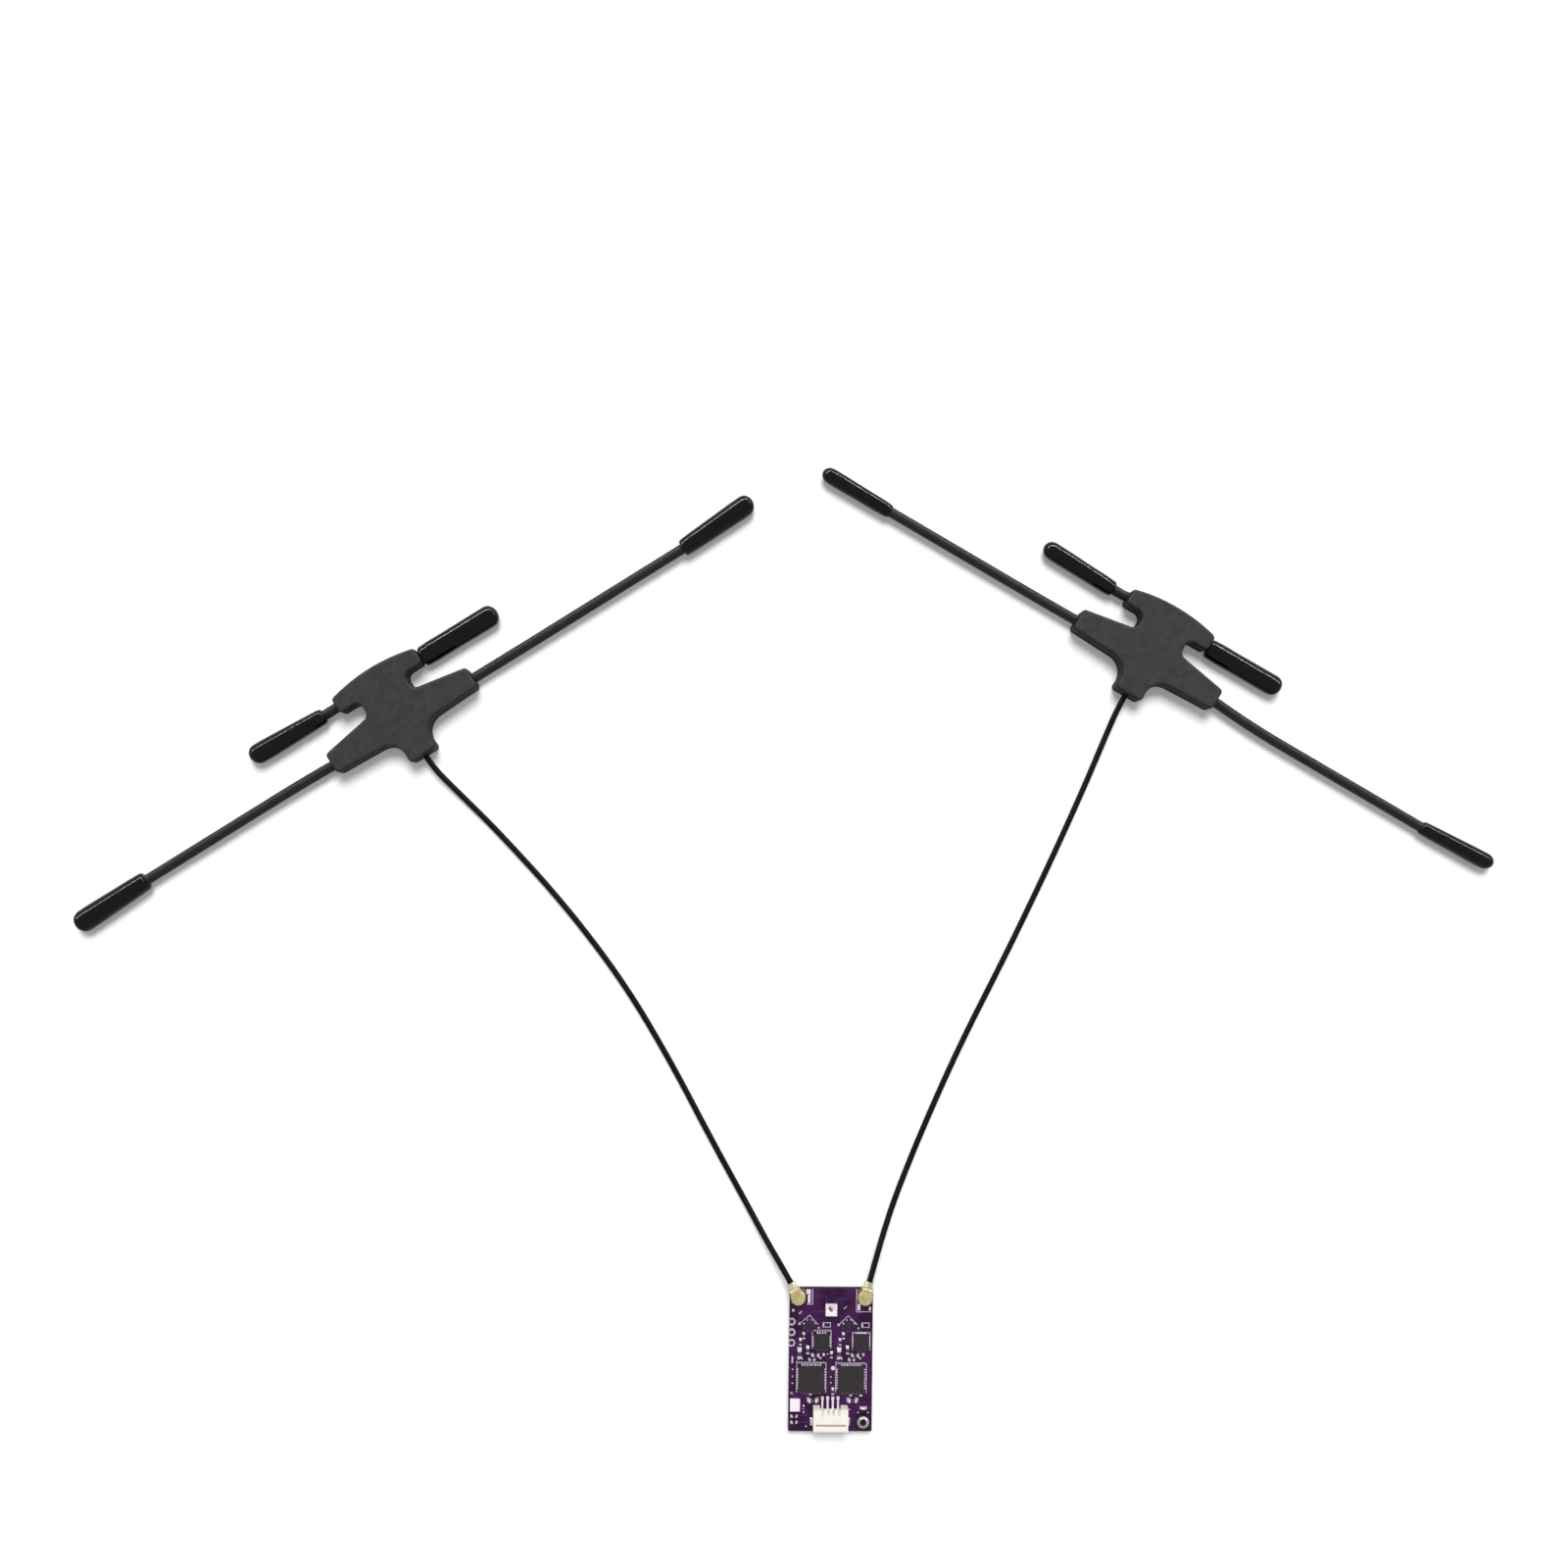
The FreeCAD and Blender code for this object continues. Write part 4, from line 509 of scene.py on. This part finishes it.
joints = bmesh.new()
for x in (-1.5, -0.5, 0.5, 1.5):
    fillet(joints, x, -7.35, 0.58, 0.75, 0.16, inner=(0.8, 0.8))
    fillet(joints, x, -8.35, 0.42, 0.6, 0.22, inner=(0.8, 0.8))
for sign in (-1, 1):
    fillet(joints, sign * 3.5, -11.7, 0.7, 1.5, 0.45, inner=(0.35, 0.8))
new_piece("socket_solder", joints, [SOLDER], bevel=0.02, segments=1)

# BOOT BUTTON. A tactile switch: black base, black nub, and a formed sheet cover with a
# raised collar, staked over the base's four corners and soldered at the ends.

# Nickel silver, blanked and formed: finely grained, and written dark: a painted dark reflection,
# because under a white room the sheet of the photographed button stays dark.
COVER = grained("formed nickel-silver sheet", ("#241e22", "#332c31"), 0.15, 0.004, (0.36, 0.46),
                Metallic=1.0)
coat(COVER, "button_dome")
# The collar's sheet is coloured lighter than the flat: a painted highlight that brightens the
# collar.
COLLAR_HIGHLIGHT = grained("nickel silver lightened as painted highlight", ("#857c85", "#a9a0aa"), 0.1, 0.003, (0.4, 0.5),
                    Metallic=1.0)
# The sheet is drawn up round the nub in a soft collar, and its corners are lapped down.
BUTTON_X = 6.3
BUTTON_Y = -11.6
COVER_HALF_X = 1.2
COVER_HALF_Y = 1.5
COVER_LOW = BOARD_TOP + 0.6
COLLAR_CORNERS = 40
sheet_form = bmesh.new()
collar = [[sheet_form.verts.new((x, y, COVER_LOW + level))
           for x, y in disc(BUTTON_X, BUTTON_Y, radius, COLLAR_CORNERS)]
          for radius, level in ((0.58, 0.0), (0.58, 0.27), (0.62, 0.3), (0.7, 0.29), (0.8, 0.25),
                                (0.9, 0.19), (1.0, 0.13), (1.08, 0.105), (1.14, 0.1))]
# The collar takes material 1, the lighter sheet of painted highlight.
join_rings(sheet_form, collar, close=False, index=1)
# The flat of the sheet runs from the collar's foot to the rectangle's edge.
rectangle = []
for angle in full_turn(COLLAR_CORNERS):
    c, s = math.cos(angle), math.sin(angle)
    reach = min(COVER_HALF_X / max(abs(c), 1e-6), COVER_HALF_Y / max(abs(s), 1e-6))
    rectangle.append((BUTTON_X + reach * c, BUTTON_Y + reach * s))
flat, under_flat = [[sheet_form.verts.new((*spot, COVER_LOW + level)) for spot in rectangle]
                    for level in (0.1, 0.0)]
join_rings(sheet_form, [collar[-1], flat, under_flat, collar[0]], close=False)
cover = new_piece("formed_button_cover", sheet_form, [COVER, COLLAR_HIGHLIGHT])
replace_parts(cover, "button_cover")
# Black nylon for base and nub, matt from the mould.
BLACK_NYLON = grained("moulded black nylon", ("#120e14", "#1c171e"), 0.1, 0.004, (0.4, 0.6),
                      Specular_IOR_Level=0.15)
coat(BLACK_NYLON, "button_base", "boot_button")

# COAX JOINTS. Snap-on receptacles on white insulating bases, and right-angle plugs
# stamped from thin phosphor bronze, folded over and crimped round each lead.

# Thin gold over nickel on stamped bronze: warm, with faint drawing marks.
GOLD = grained("gold-plated stamped bronze", ("#a4966f", "#bfb187"), 0.2, 0.014, (0.38, 0.5),
               Metallic=0.8)
coat(GOLD, "plug_shell_left", "plug_shell_right", "receptacle_rings", "receptacle_contacts")
# The crimped barrel is worn through to the nickel by the tool: paler, with die marks.
NICKEL = grained("crimped nickel-plated barrel", ("#a9a898", "#c6c5b6"), 0.2, 0.02, (0.4, 0.52),
                 Metallic=0.7)
RECEPTACLE_Y = 12.0
LEAD_HEIGHT = 3.25
# Stations along a barrel: distance from the receptacle's middle, half width, half height.
BARREL = ((1.9, 0.70, 0.70), (1.96, 0.76, 0.74), (2.3, 0.82, 0.70), (2.6, 0.76, 0.74),
          (2.85, 0.82, 0.70), (3.12, 0.76, 0.74), (3.2, 0.68, 0.66))
barrels = bmesh.new()
for x, out in ((-6.4, -28.0), (6.4, 15.0)):
    ahead = Vector((math.sin(math.radians(out)), math.cos(math.radians(out))))
    aside = Vector((ahead.y, -ahead.x))
    rings = []
    for along, half, high in BARREL:
        ring = []
        for angle in full_turn(20):
            spot = Vector((x, RECEPTACLE_Y)) + ahead * along + aside * half * math.cos(angle)
            ring.append(barrels.verts.new((*spot, LEAD_HEIGHT + high * math.sin(angle))))
        rings.append(ring)
    join_rings(barrels, rings)
new_piece("crimped_barrels", barrels, [NICKEL])
# Liquid-crystal polymer, matt; written brown, as what shows of it lies in the plugs'
# shade. The plugs' cores are alike.
BASE = grained("cream insulating moulding", ("#5f4f44", "#786757"), 0.2, 0.005, (0.5, 0.65))
coat(BASE, "receptacle_bases", "plug_cores")

# CERAMIC AERIAL. A small block of fired glass ceramic with silver printed round its
# ends, soldered flat at the board's left edge.

# Fired ceramic: very white, with pores too fine to see drawn coarser.
CERAMIC = grained("fired white glass ceramic", ("#f7eef5", "#fffafd"), 0.15, 0.004, (0.35, 0.5))
coat(CERAMIC, "ceramic_aerial")
# Silver paste fired on the ends: dull, pale.
SILVER = grained("fired silver paste", ("#ded6dc", "#f5eef4"), 0.1, 0.006, (0.4, 0.55),
                 Metallic=1.0)
ends = bmesh.new()
for y in (-7.42, -9.58):
    prism(ends, oblong(-6.75, y, 1.94, 0.2), BOARD_TOP, BOARD_TOP + 0.4)
new_piece("ceramic_aerial_ends", ends, [SILVER], bevel=0.03)

# CHIP PARTS. Surface-mount capacitors, resistors and coils, half as wide as long:
# fired ceramic bodies dipped in silver and tin at the ends, with solder up each end.

# Capacitor ceramic: brown, fine-grained, a little shiny.
TAN = grained("fired brown capacitor ceramic", ("#37253a", "#4a3349"), 0.08, 0.003, (0.35, 0.5))
# Resistor glaze: black glass over white alumina.
GLAZE = grained("black glass glaze on alumina", ("#150f1a", "#221b28"), 0.08, 0.002, (0.25, 0.4))
# Coil body: dark blue-green ceramic.
BLUE = grained("dark coil ceramic", ("#2c2242", "#3c3152"), 0.08, 0.003, (0.35, 0.5))
# Each node's body, then its parts as (x, y, turn, length): those that both channels
# repeat, placed from the channel's middle, and the single ones, placed from the board's.
CHIPS = {
    "chip_capacitors": (TAN, [(-1.5, 4.45, 90, 1.0), (-2.3, 1.15, 90, 1.6), (-0.72, 1.75, 90, 1.2),
                              (0.1, 0.0, 0, 1.0), (0.35, -7.6, 0, 1.6)],
                        [(0.1, 0.85, 90, 1.0), (6.35, -9.1, 0, 1.0), (0.45, -6.0, 90, 1.0)]),
    "chip_resistors": (GLAZE, [(-2.15, 3.3, 90, 1.0), (2.0, 0.65, 45, 1.0), (-2.05, 0.05, 0, 0.6)],
                       [(-6.9, -10.65, 0, 1.0), (-6.9, -11.8, 0, 1.0), (-5.1, -9.05, 90, 0.6)]),
    "chip_coils": (BLUE, [(0.75, 0.85, 0, 1.2)], []),
}
WHITE_PART = (6.35, -9.1)
for node, (body, in_channel, single) in CHIPS.items():
    spots = [(x + channel, y, turn, length) for channel in CHANNELS
             for x, y, turn, length in in_channel] + single
    chips = bmesh.new()
    for x, y, turn, length in spots:
        width = length / 2
        pale = 2 if (x, y) == WHITE_PART else 0
        cap = length * 0.24
        c, s = math.cos(math.radians(turn)), math.sin(math.radians(turn))
        prism(chips, oblong(x, y, length - cap, width - 0.06, turn), BOARD_TOP + 0.03,
              BOARD_TOP + width - 0.03, pale)
        for sign in (-1, 1):
            out = sign * (length - cap) / 2
            prism(chips, oblong(x + c * out, y + s * out, cap, width, turn), BOARD_TOP,
                  BOARD_TOP + width, 1)
    piece = new_piece(node + "_detailed", chips, [body, TIN, CERAMIC], bevel=0.03)
    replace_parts(piece, node)
    mounds = bmesh.new()
    for x, y, turn, length in spots:
        c, s = math.cos(math.radians(turn)), math.sin(math.radians(turn))
        for sign in (-1, 1):
            out = sign * (length / 2 + length * 0.02)
            fillet(mounds, x + c * out, y + s * out, length * 0.38, length * 0.56, length * 0.3,
                   turn, (0.3, 0.8))
    new_piece(node + "_solder", mounds, [SOLDER], bevel=0.01, segments=1)

# UNDER THE BOARD. A microcontroller that the board rests on, its regulator and power
# coil, and two clock cans, soldered like the chips above.

# Plated steel lids of the clock cans: bright, seam-welded.
LID_STEEL = grained("nickel-plated steel lid", ("#a8a7a6", "#c4c3c1"), 0.2, 0.003, (0.25, 0.4),
                    Metallic=1.0)
coat(LID_STEEL, "clock_cans")
coat(EPOXY, "voltage_regulator")
# Pressed ferrite of the power coil: grey-black, granular.
FERRITE = grained("pressed ferrite block", ("#1f1e1f", "#2d2c2d"), 0.08, 0.012, (0.5, 0.7))
coat(FERRITE, "power_coil")
under = bmesh.new()
chip_leads(under, 0.0, 0.0, 7.0, 12, 0.5, 0.24, level=0.9, up=-1)
chip_leads(under, -5.5, -6.0, 2.0, 3, 0.5, 0.24, reach=0.15, level=0.9, up=-1)
new_piece("underside_leads", under, [SOLDER])

# AERIAL HOUSINGS. Each T is two shells injection-moulded in black plastic with a
# matt textured finish, glued along a bevelled seam round the wires and the lead.

# Spark-eroded mould texture: grains of a tenth of a millimetre drawn twice as wide. The upright
# faces are nearly black, matched to the dark bands in the photograph: painted shade, the walls'
# shade put into their colour.
HOUSING = grained("spark-eroded black moulding", ("#2e2e2e", "#383837"), 0.2, 0.02, (0.55, 0.7),
                  painted_shade_sides="#040404", Specular_IOR_Level=0.14)
coat(HOUSING, "aerial_left_cover", "aerial_left_base", "aerial_right_cover",
     "aerial_right_base")
coat(board_material(), "aerial_left_feed_board", "aerial_right_feed_board")
coat(JACKET, "aerial_left_lead_end", "aerial_right_lead_end")

# AERIAL ARMS. Insulated wires, nearly straight; each ends in a soft moulded cap pushed
# over it, smooth and glossy, that keeps the tip from catching.

# Extruded insulation: black, satin, drawn with a soft unevenness.
WIRE = grained("black extruded wire insulation", ("#100f0c", "#1b1a15"), 0.4, 0.008, (0.5, 0.62),
               Specular_IOR_Level=0.18)
# Dip-moulded vinyl: blacker than the wire and shiny.
CAP = grained("dip-moulded black vinyl", ("#030303", "#080808"), 0.5, 0.006, (0.08, 0.14),
              Specular_IOR_Level=0.13)
AXIS_HEIGHT = 1.8
WIRE_RADIUS = 1.0
WIRE_START = 3.7
WIRE_IN_CAP = 13.5
WIRE_STEP = 1.5
CAP_NOSE = 1.9
CAP_HALF_HEIGHT = 1.77
# Each arm: its direction, its distance from the long wires, where it leaves the housing,
# where its cap begins and ends, how far it strays sideways at those two places, and the
# half widths of the cap there; caps are pushed on by hand and no two lie quite alike.
ARMS = {
    "left": ((-84.1, 121.3), 33.15, [
        (-1, 0.0, 15.8, 57.6, 73.4, 0.24, -0.12, 1.85, 2.20),
        (1, 0.0, 15.8, 63.6, 80.3, -0.06, 0.74, 1.74, 2.08),
        (-1, 9.3, 9.3, 12.4, 28.7, -0.14, 0.32, 1.60, 2.02),
        (1, 9.3, 9.3, 9.45, 26.5, -0.54, -0.64, 2.08, 2.18)]),
    "right": ((60.4, 135.5), -29.6, [
        (-1, 0.0, 15.8, 58.0, 73.5, -0.08, 0.10, 1.38, 1.58),
        (1, 0.0, 15.8, 63.4, 79.4, -0.76, -0.06, 1.37, 1.64),
        (-1, 9.3, 9.3, 12.4, 28.5, -0.24, 0.30, 1.58, 1.78),
        (1, 9.3, 9.3, 9.45, 26.0, -0.72, -0.62, 2.00, 2.06)]),
}


def sleeve(bm, origin, turn, sign, aside, stations):
    """Closed round skin over stations along an arm: place, stray, half width, half height."""
    c, s = math.cos(math.radians(turn)), math.sin(math.radians(turn))
    rings = []
    for along, stray, half, high in stations:
        ring = []
        for angle in full_turn(28):
            u, v = sign * along, aside + stray + half * math.cos(angle)
            ring.append(bm.verts.new((origin[0] + c * u - s * v, origin[1] + s * u + c * v,
                                      AXIS_HEIGHT + high * math.sin(angle))))
        rings.append(ring)
    join_rings(bm, rings)


def stray_at(along, leaves, mouth, tip, at_mouth, at_tip):
    """Sideways stray of an arm: none in the housing, easing out to the cap, then straight."""
    if along >= mouth:
        return at_mouth + (at_tip - at_mouth) * (along - mouth) / (tip - mouth)
    share = max(0.0, (along - leaves) / (mouth - leaves))
    return at_mouth * (1 - (1 - min(1.0, share * 3.0)) ** 2)


for side, (origin, turn, arms) in ARMS.items():
    wires = bmesh.new()
    caps = bmesh.new()
    for sign, aside, leaves, mouth, tip, at_mouth, at_tip, mouth_half, tip_half in arms:
        path = (leaves, mouth, tip, at_mouth, at_tip)
        wire_length = mouth + WIRE_IN_CAP - WIRE_START
        count = int(wire_length / WIRE_STEP)
        spots = [WIRE_START + wire_length * i / count for i in range(count + 1)]
        sleeve(wires, origin, turn, sign, aside,
               [(a, stray_at(a, *path), WIRE_RADIUS, WIRE_RADIUS) for a in spots])
        # The cap: a thin bevelled lip, a slow swell, and a nose rounded like a finger tip.
        shape = [(mouth, mouth_half - 0.34), (mouth + 0.1, mouth_half - 0.2),
                 (mouth + 0.35, mouth_half - 0.06), (mouth + 0.8, mouth_half),
                 (mouth + 2.5, mouth_half + 0.08),
                 (mouth + 6.0, mouth_half * 0.5 + tip_half * 0.5), (tip - 4.0, tip_half)]
        shape += [(tip - CAP_NOSE + CAP_NOSE * math.sin(math.radians(t)),
                   tip_half * math.cos(math.radians(t))) for t in (0, 15, 30, 42, 54, 65, 75, 84)]
        sleeve(caps, origin, turn, sign, aside,
               [(a, stray_at(a, *path), half, min(half, CAP_HALF_HEIGHT)) for a, half in shape])
    nodes = ["aerial_%s_%s_wire_%s" % (side, kind, end)
             for kind in ("long", "short") for end in ("a", "b")]
    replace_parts(new_piece("arm_wires_" + side, wires, [WIRE]), *nodes)
    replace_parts(new_piece("arm_caps_" + side, caps, [CAP]), "aerial_%s_end_caps" % side)

# TABLE AND LIGHT. White paper under a large soft lamp that stands beyond the aerials,
# so that shadows fall softly towards the socket end; the room fills them in.

WHITE = [1.0, 1.0, 1.0, 1.0]


def floor_material():
    """White paper with a faint glow, lit to just under clipping; its tooth, too fine to
    see, is drawn coarser."""
    material, tree, place = new_material("white paper")
    tooth = add_node(tree, "TexNoise", {}, {"Vector": place, "Scale": 900.0, "Detail": 3.0})
    bump = add_node(tree, "Bump", {}, {"Distance": 0.00001, "Height": tooth.outputs["Fac"]})
    skin = add_node(tree, "BsdfPrincipled", {}, {
        "Base Color": WHITE, "Roughness": 0.9, "Specular IOR Level": 0.2,
        "Normal": bump.outputs[0], "Emission Color": WHITE, "Emission Strength": 0.14})
    add_node(tree, "OutputMaterial", {}, {"Surface": skin.outputs[0]})
    return material


# The paper is 4 m wide and lies a hair below the part.
ground = bmesh.new()
for x, y in ((-2, -2), (2, -2), (2, 2), (-2, 2)):
    ground.verts.new((x, y, -0.00002))
ground.faces.new(ground.verts[:])
sheet = bpy.data.meshes.new("paper")
ground.to_mesh(sheet)
ground.free()
sheet.materials.append(floor_material())
paper = bpy.data.objects.new("paper", sheet)
bpy.context.collection.objects.link(paper)

# The soft lamp leans back from upright and gives the paper seven tenths of its white.
LEAN = math.radians(31)
lamp = bpy.data.lights.new("softbox", "SUN")
lamp.angle = math.radians(28)
lamp.energy = math.pi * 0.7 / math.cos(LEAN)
softbox = bpy.data.objects.new("softbox", lamp)
softbox.rotation_euler = (-LEAN, 0, 0)
softbox.visible_glossy = False
bpy.context.collection.objects.link(softbox)
# Low narrow strips beyond it only draw the streaks on the caps and wires; the outer two
# stand higher, so that the caps at both sides of the picture get theirs.
STRIP_WIDTH = 0.05
WATTS_PER_METRE = 34.0
for place, length in (((-0.02, 1.7, 0.85), 3.0), ((-2.3, 1.45, 1.45), 1.4),
                      ((2.1, 1.5, 1.45), 1.4)):
    strip = bpy.data.lights.new("strip", "AREA")
    strip.shape = "RECTANGLE"
    strip.size = length
    strip.size_y = STRIP_WIDTH
    strip.energy = WATTS_PER_METRE * length
    beam = bpy.data.objects.new("strip", strip)
    beam.location = place
    beam.visible_diffuse = False
    beam.rotation_euler = (-Vector(place)).to_track_quat("-Z", "Y").to_euler()
    bpy.context.collection.objects.link(beam)

# The room is white where it is seen or mirrored, and dimmer as a light on the object.
world = bpy.data.worlds.new("room")
bpy.context.scene.world = world
world.use_nodes = True
world.node_tree.nodes.clear()
ray = add_node(world.node_tree, "LightPath", {}, {}).outputs
mirrored = add_node(world.node_tree, "Math", {"operation": "MAXIMUM"},
                    {0: ray["Is Glossy Ray"], 1: ray["Is Transmission Ray"]})
seen = add_node(world.node_tree, "Math", {"operation": "MAXIMUM"},
                {0: ray["Is Camera Ray"], 1: mirrored.outputs[0]})
level = add_node(world.node_tree, "MapRange", {}, {"Value": seen.outputs[0], "To Min": 0.27,
                                                   "To Max": 1.0})
sky = add_node(world.node_tree, "Background", {}, {"Color": WHITE,
                                                   "Strength": level.outputs[0]})
add_node(world.node_tree, "OutputWorld", {}, {"Surface": sky.outputs[0]})

# Camera solved from the photograph: 307 mm above the paper, nearly straight down.
lens = bpy.data.cameras.new("camera")
lens.lens = 36
lens.sensor_width = 36
lens.clip_start = 0.01
camera = bpy.data.objects.new("camera", lens)
camera.location = (-0.019324, 0.095773, 0.306748)
camera.rotation_euler = [math.radians(turn) for turn in (2.688126, -1.718348, 0.739212)]
bpy.context.collection.objects.link(camera)
bpy.context.scene.camera = camera
bpy.context.scene.view_settings.view_transform = "Standard"
